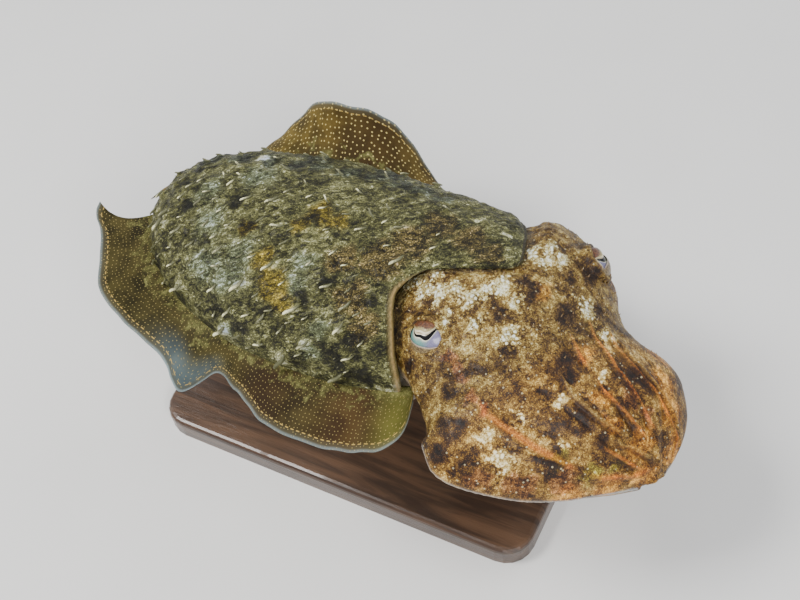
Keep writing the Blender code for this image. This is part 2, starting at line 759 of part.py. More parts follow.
def fin_root(side, share):
    """A point of a fin's root, counted outwards on its own side, and the outward
    direction there."""
    start = FIN_WIDTHS[side][0][0]
    place = start + (MANTLE_TAIL - start - FIN_ROOT_END) * share

    def edge(at):
        last_place, last_half = MANTLE_STATIONS[-1][:2]
        if at <= last_place:
            half, _, _, shift = mantle_size(at)
            return half + shift * side
        left = max(0.0, (MANTLE_TAIL - at) / (MANTLE_TAIL - last_place))
        return last_half * math.sqrt(left)

    slope = (edge(place + 0.4) - edge(place - 0.4)) / 0.8
    out = Vector((1, -slope, 0)).normalized()
    return Vector((edge(place), place, 0)), out


def fin_lift(side, place, across):
    """Angle by which the fin stands above (or below) level."""
    if side < 0:
        angle = -5 - 66 * hump(place, 22, 16) + 14 * hump(place, 62, 22)
    else:
        angle = -62 + 128 * hump(place, 22, 30) + 24 * hump(place, 98, 14)
    return math.radians(angle * (0.45 + 0.55 * across))


def fin_sweep(side, place, across):
    """How far a point near a fin's rear end is moved towards the tail."""
    end = MANTLE_TAIL - FIN_ROOT_END
    weight = min(max((place - FIN_CORNER) / (end - FIN_CORNER), 0), 1) ** 3
    hollow = FIN_CORNER_HOLLOW[side] * math.sin(math.pi * across)
    return weight * (FIN_CORNER_TIP * across ** 4 - hollow)


def fin_solid(side, part, low, high):
    """A thin, waving length of a fin, with its faces split alike above and below."""
    across_count, along_count = FIN_COUNTS
    mesh = bmesh.new()
    upper, lower = [], []
    for i in range(along_count + 1):
        share = low + (high - low) * i / along_count
        root, out = fin_root(side, share)
        place = root.y
        width = smooth_table(FIN_WIDTHS[side], 1, place)
        top_row, low_row = [], []
        spot = root + out * (GAP / MM + 0.15)
        step = width / across_count
        for j in range(across_count + 1):
            across = j / across_count
            lift = fin_lift(side, place, across)
            if j:
                spot = spot + (out * math.cos(lift) + Vector((0, 0, math.sin(lift)))) * step
            normal = Vector((0, 0, math.cos(lift))) - out * math.sin(lift)
            half = (FIN_ROOT + (FIN_EDGE - FIN_ROOT) * across ** 0.8) / 2
            if j == 0:
                normal = Vector((0, 0, 1))
            for row, sign in ((top_row, 1), (low_row, -1)):
                sweep = Vector((-out.y, out.x, 0)) * fin_sweep(side, place, across)
                point = (spot + sweep + normal * half * sign) * MM
                point.x *= side
                row.append(mesh.verts.new(BODY @ point))
        upper.append(top_row)
        lower.append(low_row)
    for i in range(along_count):
        for j in range(across_count):
            for rows in (upper, lower):
                a, b = rows[i][j], rows[i][j + 1]
                c, d = rows[i + 1][j + 1], rows[i + 1][j]
                mesh.faces.new((a, b, c))
                mesh.faces.new((a, c, d))
        for j in (0, across_count):
            mesh.faces.new((upper[i][j], upper[i + 1][j], lower[i + 1][j], lower[i][j]))
    for i in (0, along_count):
        for j in range(across_count):
            mesh.faces.new((upper[i][j], upper[i][j + 1], lower[i][j + 1], lower[i][j]))
    bmesh.ops.recalc_face_normals(mesh, faces=mesh.faces)
    bmesh.ops.triangulate(mesh, faces=[f for f in mesh.faces if len(f.verts) > 3])
    name = "fin_%s_%s" % ("left" if side > 0 else "right", part)
    return mesh_object(name, mesh)


def funnel_solid():
    """The funnel: a tapered tube under the neck, open at its front end."""
    start, end = FUNNEL_ENDS
    axis = (end - start).normalized()
    frame = axis.to_track_quat("Z", "Y").to_matrix().to_4x4()
    rings = []
    for share, radius in FUNNEL_PROFILE:
        centre = start.lerp(end, share)
        ring = []
        for k in range(FUNNEL_SIDES):
            angle = 2 * math.pi * k / FUNNEL_SIDES
            ring.append(Vector((radius * math.cos(angle), radius * math.sin(angle), 0)) * MM)
        rings.append(moved(ring, BODY @ Matrix.Translation(centre) @ frame))
    return loft("funnel", rings)


def rod_solid(name, place):
    mesh = bmesh.new()
    bottom = BASE_SIZE.z + GAP
    top = BODY_PLACE.z - 12 * MM
    bmesh.ops.create_cone(mesh, cap_ends=True, segments=20, radius1=ROD_RADIUS,
                          radius2=ROD_RADIUS, depth=top - bottom)
    spot = Vector((BODY_PLACE.x, BODY_PLACE.y + place * MM, (top + bottom) / 2))
    bmesh.ops.translate(mesh, verts=mesh.verts, vec=spot)
    bmesh.ops.triangulate(mesh, faces=mesh.faces)
    return mesh_object(name, mesh)


def base_solid():
    mesh = bmesh.new()
    bmesh.ops.create_cube(mesh, size=1.0)
    bmesh.ops.scale(mesh, verts=mesh.verts, vec=BASE_SIZE)
    bmesh.ops.translate(mesh, verts=mesh.verts, vec=(0, 0, BASE_SIZE.z / 2))
    uprights = [e for e in mesh.edges if abs(e.verts[0].co.z - e.verts[1].co.z) > BASE_SIZE.z / 2]
    bmesh.ops.bevel(mesh, geom=uprights, offset=BASE_CORNER, segments=5, affect="EDGES", profile=0.5)
    rim = [e for e in mesh.edges if all(v.co.z > BASE_SIZE.z * 0.9 for v in e.verts)
           and len([f for f in e.link_faces if abs(f.normal.z) > 0.9]) == 1]
    bmesh.ops.bevel(mesh, geom=rim, offset=BASE_BEVEL, segments=3, affect="EDGES", profile=0.5)
    bmesh.ops.triangulate(mesh, faces=mesh.faces)
    return mesh_object("stand_base", mesh)


def make_head():
    """The head with its eyes, lids, mouth and papillae; also cuts its bed in the mantle."""
    head, neck = crown_solid(), neck_solid()
    beds = [swollen(head, GAP * 1.15), swollen(neck, GAP * 1.15)]
    funnel = finish(funnel_solid(), "funnel")
    details = head_papillae() + [neck, mouth_solid(), lid_solid(1), lid_solid(-1)]
    combine(head, details, "UNION")
    rooms = [swollen(funnel, GAP * 1.1)]
    for side, name in ((1, "eye_left"), (-1, "eye_right")):
        centre = eye_frame(side).translation
        eye = ball(name, centre, EYE_RADIUS * MM)
        combine(eye, [pupil_solid(side)], "UNION")
        finish(eye, "eye")
        rooms.append(ball("socket", centre, EYE_RADIUS * MM + GAP * 1.2))
    combine(head, rooms, "DIFFERENCE")
    finish(head, "head")
    return beds + [swollen(funnel, GAP * 1.1)]


def make_mantle(rooms):
    mantle = mantle_solid()
    mantle_room = swollen(mantle, GAP * 1.1)
    combine(mantle, mantle_papillae(), "UNION")
    for room in rooms:
        combine(mantle, [room], "DIFFERENCE")
    finish(mantle, "mantle")
    return mantle_room


def make_stand(mantle_room):
    for name, place in ROD_PLACES:
        rod = rod_solid(name, place)
        room = mantle_room.copy()
        bpy.context.scene.collection.objects.link(room)
        combine(rod, [room], "DIFFERENCE")
        finish(rod, "rod")
    bpy.data.objects.remove(mantle_room, do_unlink=True)
    finish(base_solid(), "base")


def build():
    clear_scene()
    rooms = make_head()
    mantle_room = make_mantle(rooms)
    make_stand(mantle_room)
    for side in (1, -1):
        for number in (1, 2, 3, 4):
            finish(arm_solid(number, side), "arm")
        finish(fin_solid(side, "front", 0.0, FIN_SPLIT), "fin")
        finish(fin_solid(side, "rear", FIN_SPLIT + 0.002, 1.0), "fin")
    for thing in bpy.data.objects:
        thing.data.shade_smooth()
        thing.data.set_sharp_from_angle(angle=math.radians(40))


build()
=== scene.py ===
"""Finish, floor, lights and camera for a life-size model of a common cuttlefish.

Places on the animal are in millimetres in one of two frames: the body's frame, whose
middle is in the mantle at the level of the fins, and the head's frame, which is turned
to the animal's right. In both, -Y is forward, +X is the left side and +Z is up.
"""
import math
import random

import bpy
import numpy as np
from mathutils import Matrix, Vector
from mathutils.bvhtree import BVHTree


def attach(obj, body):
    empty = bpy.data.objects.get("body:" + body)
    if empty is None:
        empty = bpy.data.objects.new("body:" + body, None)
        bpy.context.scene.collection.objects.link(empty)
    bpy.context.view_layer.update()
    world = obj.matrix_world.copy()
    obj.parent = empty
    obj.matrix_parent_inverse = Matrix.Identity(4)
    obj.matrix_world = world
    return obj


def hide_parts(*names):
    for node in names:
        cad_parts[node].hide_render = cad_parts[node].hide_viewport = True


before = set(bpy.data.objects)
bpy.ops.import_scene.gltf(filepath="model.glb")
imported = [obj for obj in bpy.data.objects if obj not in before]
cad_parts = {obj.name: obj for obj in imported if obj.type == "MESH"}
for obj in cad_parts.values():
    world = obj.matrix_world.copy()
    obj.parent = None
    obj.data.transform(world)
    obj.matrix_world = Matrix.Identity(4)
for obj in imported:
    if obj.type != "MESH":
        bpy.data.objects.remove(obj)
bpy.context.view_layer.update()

MM = 0.001
MANTLE_VOXEL = 0.95 * MM
HEAD_VOXEL = 0.86 * MM
ARMS = ["arm_%s_%d" % (side, number) for side in ("left", "right") for number in (1, 2, 3, 4)]
SEED = 7

# Frames of the body and the head
BODY_PLACE = Vector((6, 26, 92)) * MM
HEAD_IN_BODY = (Matrix.Translation(Vector((8.6, -83.7, 10.8)) * MM)
                @ Matrix.Rotation(math.radians(-34), 4, "Z")
                @ Matrix.Rotation(math.radians(2), 4, "X")
                @ Matrix.Rotation(math.radians(8), 4, "Y"))
BODY = Matrix.Translation(BODY_PLACE)
HEAD = BODY @ HEAD_IN_BODY

# Mantle: place, half width, height of the back, depth of the belly, sideways shift
MANTLE_STATIONS = (
    (-100, 38.0, 33.0, 22.0, 0.0), (-80, 47.4, 35.0, 25.0, 0.0), (-60, 52.4, 36.0, 26.0, -2.6),
    (-28, 55.9, 36.5, 25.0, -5.0), (9, 55.2, 35.5, 23.0, -4.8), (45, 47.7, 31.0, 18.5, -3.4),
    (68, 37.0, 24.5, 13.0, -1.6), (82, 25.0, 16.5, 8.0, 0.0), (90, 12.0, 8.0, 4.0, 0.0),
)
MANTLE_TAIL = 92.5
# Front edge: angle round the mantle (0 is the left side, 90 the back), and place
FRONT_EDGE = (
    (0, -77.0), (24, -82.5), (47, -91.0), (61, -94.3), (77, -97.2), (83, -95.7),
    (87, -93.0), (91, -88.3), (95, -80.5), (98, -71.5), (101, -62.8), (105, -58.2),
    (110, -54.6), (116, -52.9), (125, -54.7), (137, -58.1), (149, -60.8), (165, -64.0),
    (200, -66.5), (225, -70.0), (270, -75.0), (315, -77.0), (360, -77.0),
)

# Crown of the head and arms: place, half width, level of the widest line, top,
# sideways shift
CROWN_STATIONS = (
    (19, 31.0, -4.0, 12.0, -1.8), (17, 41.0, -5.0, 19.0, -1.8),
    (13, 47.5, -6.0, 23.5, -2.0), (8, 51.0, -7.0, 25.5, -2.5), (0, 53.0, -8.0, 26.0, -3.0),
    (-14, 54.0, -9.0, 24.5, -4.0), (-26, 52.8, -10.0, 23.0, -6.7),
    (-38, 51.3, -12.5, 20.5, -9.7), (-50, 54.5, -15.0, 17.5, -12.0),
    (-60, 58.3, -17.0, 14.5, -10.2), (-70, 56.5, -18.0, 11.0, -6.5),
    (-80, 49.3, -19.5, 6.5, -2.7), (-88, 41.2, -21.0, 0.5, 0.7),
    (-95, 30.0, -22.0, -6.5, 4.5), (-100, 18.0, -23.5, -14.5, 9.5),
    (-104, 8.5, -24.5, -20.5, 13.0),
)
CROWN_ROUND = 1.65
ARM_EDGES = (0.0, 0.17, 0.365, 0.56)
ARM_GATHER = 0.35
CROWN_START = -50.0
TIP_START = -90
TIP_LENGTH = 15.2

# Eyes, in the head's frame; the right one mirrors the left one about the shifted middle
EYE_PLACE = Vector((41.3, -15.2, 6.3)) * MM
EYE_SHIFT = -3.0 * MM
EYE_AXIS = Vector((0.72, -0.18, 0.67)).normalized()
EYE_RADIUS = 11.0
EYE_DEPTH = 4.6
EYE_ROLL = 22.0
PUPIL_SPAN = 6.0
PUPIL_DEEP = 4.6
PUPIL_RAISE = 0.2
PUPIL_SHIFT = 1.2
# Ring that the lids are made from: its radius, its tube's, and the lids' outer edge
LID_RING = 8.6
LID_TUBE = 1.5
LID_OUTER = (9.8, 9.4)
LID_OPENING = {1: (6.0, 7.0), -1: (7.8, 7.0)}
LOWER_OPENING = {1: 1.0, -1: 3.5}

# Fins: place of the root along the body and width, for the left and the right side
FIN_WIDTHS = {
    1: ((-74, 6), (-60, 15), (-44, 20), (-28, 24), (-10, 28), (10, 31), (30, 32),
        (50, 30), (65, 27), (80, 24), (88, 20), (91, 16)),
    -1: ((-70, 4), (-68, 16), (-64, 24), (-58, 28), (-44, 30), (-28, 29), (-14, 26.5),
         (-6, 22), (2, 18), (10, 16.5), (18, 16.5), (23, 19), (27, 26), (31, 33), (34, 30),
         (37, 25.5), (41, 23.5), (47, 24), (57, 26.5), (72, 28.5), (82, 25), (88, 26),
         (91, 31)),
}
# How far the scene's fins start inside the mantle, and how much that adds to their width
FIN_SINK = 3.5
FIN_EXTRA = 3.8
FIN_GRID = (240, 22)
FIN_STEPS = 24
FIN_ROOT = 2.6
FIN_REACH = 40.0
FIN_LENGTH = 200.0
# Tints of the fins: name, share of the way to the tail and reach on the right and on
# the left fin, and how much only the outer part is tinted
FIN_SPOTS = {
    "brown_tint": ((0.34, 0.08, 0.0), (0.45, 0.12, 0.0)),
    "red_tint": ((0.13, 0.08, 0.0), (0.2, 0.08, 0.0)),
    "green_tint": ((0.03, 0.04, 0.0), (0.05, 0.04, 0.0)),
    "blue_tint": ((0.57, 0.06, 0.8), (0.9, 0.03, 0.9)),
}
FIN_TONES = {1: ((0.055, 0.038, 0.008), (0.150, 0.105, 0.022)),
             -1: ((0.016, 0.013, 0.004), (0.052, 0.042, 0.012))}
FIN_TINTS = (("brown_tint", (0.030, 0.014, 0.006), 0.7), ("red_tint", (0.070, 0.026, 0.010), 0.4),
             ("green_tint", (0.150, 0.150, 0.025), 0.5), ("blue_tint", (0.110, 0.160, 0.180), 0.6))

# Large papillae of the mantle: place, angle round it, height; each has a lower
# counterpart on the left side
PAPILLA_SPOTS = (
    (72, 132, 4.6), (50, 161, 5.2), (22, 171, 5.4), (13, 168, 3.6), (-11, 171, 5.2),
    (-37, 171, 4.6), (17, 137, 4.4), (6, 122, 4.4), (-12, 138, 4.2), (-35, 140, 3.8),
    (-21, 154, 4.4), (33, 124, 2.8), (56, 103, 2.8), (46, 84, 2.6),
)
LEFT_PAPILLA = 0.6
LEFT_LOWEST = 24
PAPILLA_SEED = 41
# Smaller papillae: how many, their height, and the room round each
PAPILLA_SIZES = ((45, 2.9, 9.5), (150, 1.7, 5.8), (330, 0.8, 3.6))
RIDGE_HEIGHT = 1.3
MOUND_REACH = 25
HEAD_PAPILLAE = 260
HEAD_PAPILLA_ROOM = 3.2
EYE_ROOM = 13.5
HEAD_TRIES = 6000

# Marks on the skin: middle, in millimetres in the body's or the head's frame, and reach
MANTLE_MARKS = {
    "ochre": ((-40, 1, 28, 9), (-32, 9, 31, 6), (-44, -4, 25, 7), (-19, 24, 33, 4),
              (-2, -3, 36, 7), (-4, -12, 36, 6), (-10, 3, 36, 5)),
    "dark": ((-57, 12, 11, 6), (-50, -2, 21, 4), (-57, 35, 1, 7), (-53, 27, 13, 5),
             (-60, -20, 8, 6), (-55, -33, 16, 7), (-50, -43, 20, 6), (-56, -50, 9, 6),
             (-57, -41, 9, 6), (-18, 24, 33, 5), (-7, -1, 36, 4), (-42, -14, 27, 4),
             (-12, 64, 25, 4), (-47, -56, 20, 5), (-32, -46, 31, 4), (-33, -24, 32, 4),
             (-32, 66, 15, 4), (-35, 70, 5, 6), (-7, 36, 32, 5), (-47, 50, 4, 6)),
    "slate": ((30, 0, 28, 6), (32, -12, 27, 6), (33, -25, 27, 6), (33, -35, 27, 6),
              (31, -46, 27, 5), (27, 25, 27, 6), (29, 15, 28, 6), (24, 40, 26, 6),
              (22, 55, 23, 6), (38, 20, 20, 9), (40, -15, 20, 9), (18, 70, 18, 8)),
    "pale": ((-55, -61, 1, 5), (-53, -63, 6, 3), (-56, -54, 4, 3), (-59, -51, 1, 3),
             (25, 45, 26, 4), (4, 66, 23, 3), (20, -84, 30, 3), (24, -70, 30, 3)),
    "grey": ((-41, 25, 24, 9), (-38, 38, 23, 9), (-32, 22, 29, 8), (-36, -10, 30, 6),
             (-27, -9, 33, 6), (-57, 18, 8, 4), (-50, -27, 22, 5), (-56, -24, 14, 5),
             (-20, 45, 29, 9), (-5, 55, 26, 9), (10, 35, 30, 9)),
    "brown": ((-15, -40, 36, 11), (-1, -47, 36, 10), (12, -55, 34, 9), (-35, -37, 30, 9),
              (-44, -44, 25, 8), (-21, -24, 35, 8), (10, -71, 35, 9), (6, -82, 34, 7)),
}
HEAD_MARKS = {
    "pale": ((-38.7, 10.4, 12, 4.5), (-36.5, 2.7, 15.5, 5), (-34, -5.3, 17.5, 5),
             (-37.8, -15.9, 15.7, 4), (-27.5, -6.9, 22.3, 5), (-25.8, -14.7, 20.5, 5),
             (-18.9, -14.4, 22.1, 4.5), (-12.1, -15.1, 23.5, 5), (-10.1, -25.1, 22.8, 4),
             (11.4, -6.7, 19.1, 4.5), (12.5, -11.8, 20.5, 4.5), (20.6, -7.3, 20.7, 4.5),
             (20.5, -14.7, 19.2, 4), (18.3, -35.1, 13.7, 4.5), (19.9, -38.5, 11.7, 4),
             (21.4, -51.7, 8.8, 4), (-20.6, -38.4, 18.9, 5), (-33.8, -47.9, 4, 3.5),
             (-14.6, -69.2, 11.3, 4), (-20.5, -80.9, -1.5, 3.2), (-48.3, -64.1, 2, 3.5),
             (-33.2, -67.2, 6.2, 2.6), (6.2, -67.9, 10.3, 3), (-30, 5, 20, 5),
             (-45.3, -75.5, -4.4, 5.2), (-31, -27, 20, 4)),
    "dark": ((-18.2, -28.2, 21.1, 5), (-0.4, -21.6, 23.1, 5), (-23.8, -43.7, 17.1, 4.5),
             (-38, -40.5, 12.1, 5), (-54, -19.2, -3.8, 4.5), (-52.7, -25.2, -11.1, 5),
             (-7.7, -59.4, 15.4, 6), (-12, -77.3, 6.5, 7), (13.8, -71.9, 8, 5),
             (23.3, -71.6, 4.8, 5), (16.2, -24.2, 18.4, 5), (24.4, -38.6, 9.1, 4.5),
             (-57.6, -54.3, -1, 7), (-22, -63.7, 11.5, 4.5), (-7.1, -87.5, -0.1, 4.5),
             (-56.1, -67.9, -5.6, 6.5), (-31.4, -85.6, -6.9, 5), (-65.5, -57.4, -9.5, 5),
             (30, -20, 14, 6), (8, -40, 18, 6), (-50, -40, 4, 5)),
    "ochre": ((-53, -33, -12, 4.5), (0.2, -76.6, 9.2, 5.5), (34.1, -75.6, -3.3, 8),
              (31.4, -86.2, -7.7, 8), (13.2, -93.3, -5.2, 6), (5.4, -95.2, -8, 6),
              (10, -99, -20, 8), (-8.1, -99.5, -20.9, 8), (25.5, -98.1, -17.8, 7),
              (0, -85.1, 2.4, 5), (3.6, -26.2, 22.6, 5), (5.3, -55.2, 14.3, 5),
              (-25, -96, -20, 7), (42, -62, -10, 8)),
    "green": ((-56, -30, -17, 4), (-13.7, -93, -11.8, 6), (-25.2, -86.4, -4.5, 4.5),
              (-4.3, -96.8, -10.5, 4)),
    "purple": ((-25, -91.4, -11.2, 7), (-41.8, -84.1, -12.4, 7), (14.1, -78.4, 5.4, 5),
               (17, -85.7, -1.8, 4), (-55, -75, -12, 6)),
    "pink": ((-43.6, -29.6, 10, 3.6), (-43.4, -35.8, 8.3, 3.8), (-42.9, -41.6, 6.1, 3.8),
             (-44.4, -50.5, 7.3, 3.6), (-44.1, -57.2, 6.8, 3.2), (44, -22, 3, 3.4),
             (44.8, -25, -1, 3.4), (44.3, -29, -5.6, 3.4), (44, -35, -8, 3.2)),
}
# Raised lines on the arms, in the head's frame
GREY_LINES = (
    ((-10.5, -57.3, 14.7), (-10.3, -70.6, 11.6), (-5.2, -80.7, 6.9), (1.2, -87.3, 0.9),
     (8.5, -92.8, -5.3)),
    ((25.9, -53.5, 6.0), (26.4, -62.9, 5.6), (28.1, -72.8, 2.4), (31.0, -80.7, -4.2),
     (32.3, -89.7, -11.3), (31, -97, -20)),
    ((-0.9, -91.0, -1.4), (5.7, -94.8, -5.7), (11.7, -98.1, -11.7), (15.6, -99.9, -16.9)),
)
ORANGE_LINES = (
    ((3.3, -46.8, 15.8), (2.0, -56.5, 13.7), (2.8, -64.9, 10.3), (3.2, -72.5, 8.9),
     (6.8, -80.5, 4.6), (10.2, -88.2, 0), (12.9, -92.9, -4.6)),
    ((16.8, -42.9, 11.7), (14.4, -49.4, 11.2), (15.1, -57.6, 9.3), (14.8, -65.9, 9.2),
     (17, -78.7, 3), (17.7, -89.5, -3.8), (22.3, -94.2, -12.2), (21, -99, -18)),
    ((22.8, -47.2, 7.5), (22.1, -56.7, 7.9), (23.8, -66.4, 6), (25.9, -74.9, 3),
     (28, -81, -3), (28.1, -86.8, -6.7), (30.1, -94.6, -15.2), (25, -99.5, -21)),
    ((-7, -90.6, -1.9), (-2.1, -94.6, -6), (3.3, -98.5, -11.7), (12, -101, -20)),
)
# Edge between the third and the fourth right arm, a soft orange band
EDGE_LINES = (
    ((-44.5, -54.7, 8.4), (-44, -58.6, 7.5), (-41.3, -64.9, 6), (-38, -70.4, 4.5),
     (-33, -78.2, 1.2), (-26.1, -85.3, -3), (-17.5, -90.9, -10.1), (-9.5, -96.6, -13.6),
     (2.4, -100.5, -16.6), (9.6, -101.1, -16.7)),
)

# Camera, in metres: place, and its turn about the upright, its tilt and its roll
CAMERA_TURN = -55.45
CAMERA_TILT = 53.53
CAMERA_ROLL = -10.04
CAMERA_REACH = 0.55922 * 1.08
CAMERA_SLIDE = (-0.03126 * 1.08, 0.01835 * 1.08)
LENS = 58.5


def deselect():
    if bpy.context.object and bpy.context.object.mode != "OBJECT":
        bpy.ops.object.mode_set(mode="OBJECT")
    bpy.ops.object.select_all(action="DESELECT")


def pick(piece):
    """Make a piece the only one that is selected, and the active one."""
    deselect()
    piece.select_set(True)
    bpy.context.view_layer.objects.active = piece
    return piece


def modify(piece, kind, **settings):
    """Add a modifier to a piece and apply it."""
    pick(piece)
    change = piece.modifiers.new(kind.title(), kind)
    for name, value in settings.items():
        setattr(change, name, value)
    bpy.ops.object.modifier_apply(modifier=change.name)
    return piece


def read_points(piece):
    points = np.empty(len(piece.data.vertices) * 3)
    piece.data.vertices.foreach_get("co", points)
    return points.reshape(-1, 3)


def write_points(piece, points):
    piece.data.vertices.foreach_set("co", np.ascontiguousarray(points).ravel())
    piece.data.update()


def read_normals(piece):
    normals = np.empty(len(piece.data.vertices) * 3)
    piece.data.vertex_normals.foreach_get("vector", normals)
    return normals.reshape(-1, 3)


def raise_skin(piece, lift):
    """Move each point along its normal by its own number of millimetres."""
    write_points(piece, read_points(piece) + read_normals(piece) * (lift * MM)[:, None])


def shade_smooth(piece):
    pick(piece)
    bpy.ops.object.shade_smooth()
    return piece


def into(place, points):
    """Points in metres to millimetres in a frame."""
    back = np.array(place.inverted())
    return (points @ back[:3, :3].T + back[:3, 3]) / MM


def out_of(place, points):
    """Millimetres in a frame to points in metres."""
    matrix = np.array(place)
    return (points * MM) @ matrix[:3, :3].T + matrix[:3, 3]


def keep_mask(piece, name, values):
    """Store one number per point, for the materials to read."""
    layer = piece.data.attributes.new(name, "FLOAT", "POINT")
    layer.data.foreach_set("value", np.clip(values, 0, 1).astype(np.float32))


def keep_masks(piece, masks):
    for name, values in masks.items():
        keep_mask(piece, name, values)


def read_curve(table, column, places):
    """Read one column of a table of stations on a smooth curve."""
    rows = np.array(sorted(table), float)
    knots, values = rows[:, 0], rows[:, column]
    behind, ahead = np.r_[knots[:1], knots[:-1]], np.r_[knots[1:], knots[-1:]]
    rise = np.r_[values[1:], values[-1:]] - np.r_[values[:1], values[:-1]]
    slopes = rise / (ahead - behind)
    places = np.clip(places, knots[0], knots[-1])
    i = np.clip(np.searchsorted(knots, places) - 1, 0, len(knots) - 2)
    span = knots[i + 1] - knots[i]
    t = (places - knots[i]) / span
    keep = (2 * t ** 3 - 3 * t ** 2 + 1) * values[i] + (3 * t ** 2 - 2 * t ** 3) * values[i + 1]
    return keep + ((t ** 3 - 2 * t ** 2 + t) * slopes[i] + (t ** 3 - t ** 2) * slopes[i + 1]) * span


def ripple(points, across, along):
    """Low lumps: two crossed waves, each given by its rate, how much another wave
    bends it, and that wave's rate."""
    x, y = points[:, 0], points[:, 1]
    first = np.sin(x * across[0] + across[1] * np.sin(y * across[2]))
    return first * np.sin(y * along[0] + along[1] * np.sin(x * along[2]))


def wobble(points, slow, fast):
    """Points moved a little in two waves, so that marks laid on them get rough edges."""
    moved = points + slow[0] * np.sin(points[:, [1, 2, 0]] * slow[1])
    return moved + fast[0] * np.sin(points[:, [2, 0, 1]] * fast[1])


def hump(value, middle, reach):
    return np.exp(-((value - middle) / reach) ** 2)


def ease(value, low, high):
    """0 below low, 1 above high, and smooth between."""
    t = np.clip((value - low) / (high - low), 0, 1)
    return t * t * (3 - 2 * t)


def marks_mask(points, marks):
    """Soft round patches, as one number per point."""
    mask = np.zeros(len(points))
    for x, y, z, reach in marks:
        away = ((points - np.array((x, y, z))) ** 2).sum(1)
        mask = np.maximum(mask, np.exp(-(away / reach ** 2) ** 1.5))
    return mask


def line_mask(points, lines, width):
    """Thin lines that run through a few places and fade at both ends."""
    mask = np.zeros(len(points))
    for line in lines:
        knots = np.array(line, float)
        share = np.linspace(0, len(knots) - 1, 60)
        whole = np.arange(len(knots))
        path = np.stack([np.interp(share, whole, knots[:, k]) for k in range(3)], 1)
        strength = np.sin(np.pi * np.linspace(0.04, 0.96, 60)) ** 0.4
        for spot, strong in zip(path, strength):
            away = ((points - spot) ** 2).sum(1)
            mask = np.maximum(mask, strong * np.exp(-away / width ** 2))
    return mask


def welded_copy(name, nodes, swell=0.0):
    """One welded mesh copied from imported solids, a little swollen so that they fuse."""
    deselect()
    for node in nodes:
        copy = bpy.data.objects.new(name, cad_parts[node].data.copy())
        bpy.context.scene.collection.objects.link(copy)
        copy.select_set(True)
        bpy.context.view_layer.objects.active = copy
    bpy.ops.object.join()
    piece = bpy.context.view_layer.objects.active
    piece.name = name
    bpy.ops.object.mode_set(mode="EDIT")
    bpy.ops.mesh.select_all(action="SELECT")
    bpy.ops.mesh.remove_doubles(threshold=0.00001)
    bpy.ops.object.mode_set(mode="OBJECT")
    if swell:
        modify(piece, "DISPLACE", strength=swell, mid_level=0.0)
    return piece


# Skin of the mantle

def mantle_front(angle):
    return read_curve(FRONT_EDGE, 1, np.mod(angle, 360))


def mantle_size(places):
    return [read_curve(MANTLE_STATIONS, column, places) for column in (1, 2, 3, 4)]


def smooth_onto_mantle(points):
    """Lay points on the mantle's true curve, except at its open front edge."""
    half, back, belly, shift = mantle_size(points[:, 1])
    across = points[:, 0] - shift
    above = points[:, 2] > 0
    power = np.where(above, 2.0, 2 / 0.85)
    side = np.abs(across / half) ** 2
    rise = np.abs(points[:, 2] / np.where(above, back, belly)) ** power
    scale = 1 - (side + rise - 1) / np.maximum(2 * side + power * rise, 0.1)
    angle = np.degrees(np.arctan2(points[:, 2] / back, across / half))
    behind = points[:, 1] - mantle_front(angle)
    hold = ease(behind, 1.0, 4.0) * (scale < 1.03) * ease(MANTLE_TAIL - points[:, 1], 2.0, 8.0)
    scale = 1 + (np.maximum(scale, 0.8) - 1) * hold * (scale > 0.9)
    points[:, 0] = shift + across * scale
    points[:, 2] *= scale
    return angle, behind


def mantle_spot(place, angle):
    """A point of the mantle's curve, in millimetres in the body's frame."""
    half, back, _, shift = (float(value) for value in mantle_size(place))
    turned = math.radians(angle)
    return Vector((shift + half * math.cos(turned), place, back * math.sin(turned)))


def mantle_axes(place, angle):
    """A spot on the mantle, the way a papilla leans there, the way across, and out."""
    here = mantle_spot(place, angle)
    ahead = (mantle_spot(place + 1, angle) - here).normalized()
    around = (mantle_spot(place, angle + 2) - here).normalized()
    lean = (ahead * 0.75 + around * (0.85 if angle > 80 else -0.4)).normalized()
    out = ahead.cross(around).normalized()
    return here, lean, out.cross(lean), out


def papilla_layout():
    """Place, angle and height of every papilla of the mantle, large ones first."""
    draw = random.Random(PAPILLA_SEED)
    spots = list(PAPILLA_SPOTS)
    for place, angle, height in PAPILLA_SPOTS:
        mirrored = max(180 - angle, LEFT_LOWEST) + draw.uniform(-2, 2)
        spots.append((place + draw.uniform(-5, 5), mirrored, height * LEFT_PAPILLA))
    for count, height, room in PAPILLA_SIZES:
        placed = 0
        for _ in range(20000):
            place, angle = draw.uniform(-60, 86), draw.uniform(6, 174)
            if any(abs(place - a) < room and abs(angle - b) < room for a, b, _ in spots):
                continue
            if place < float(mantle_front(angle)) + 7:
                continue
            size = height * draw.uniform(0.6, 1.3)
            spots.append((place, angle, size * (0.6 if angle < 65 else 1)))
            placed += 1
            if placed == count:
                break
    return spots


def papilla_mounds(points, spots):
    """Height of the skin's mounds, long behind each large papilla and short before it."""
    lift = np.zeros(len(points))
    for place, turned, height in spots:
        if height < RIDGE_HEIGHT:
            continue
        here, lean, across, _ = (np.array(way) for way in mantle_axes(place, turned))
        ahead = (points - here) @ lean
        beside = (points - here) @ across
        nose = np.where(ahead < 0, 1.1 * height + 1.2, 0.35 * height + 0.5)
        mound = np.exp(-(ahead / nose) ** 2 - (beside / (0.32 * height + 1.0)) ** 2)
        lift += 0.42 * height * mound * (np.abs(points[:, 1] - place) < MOUND_REACH)
    return lift


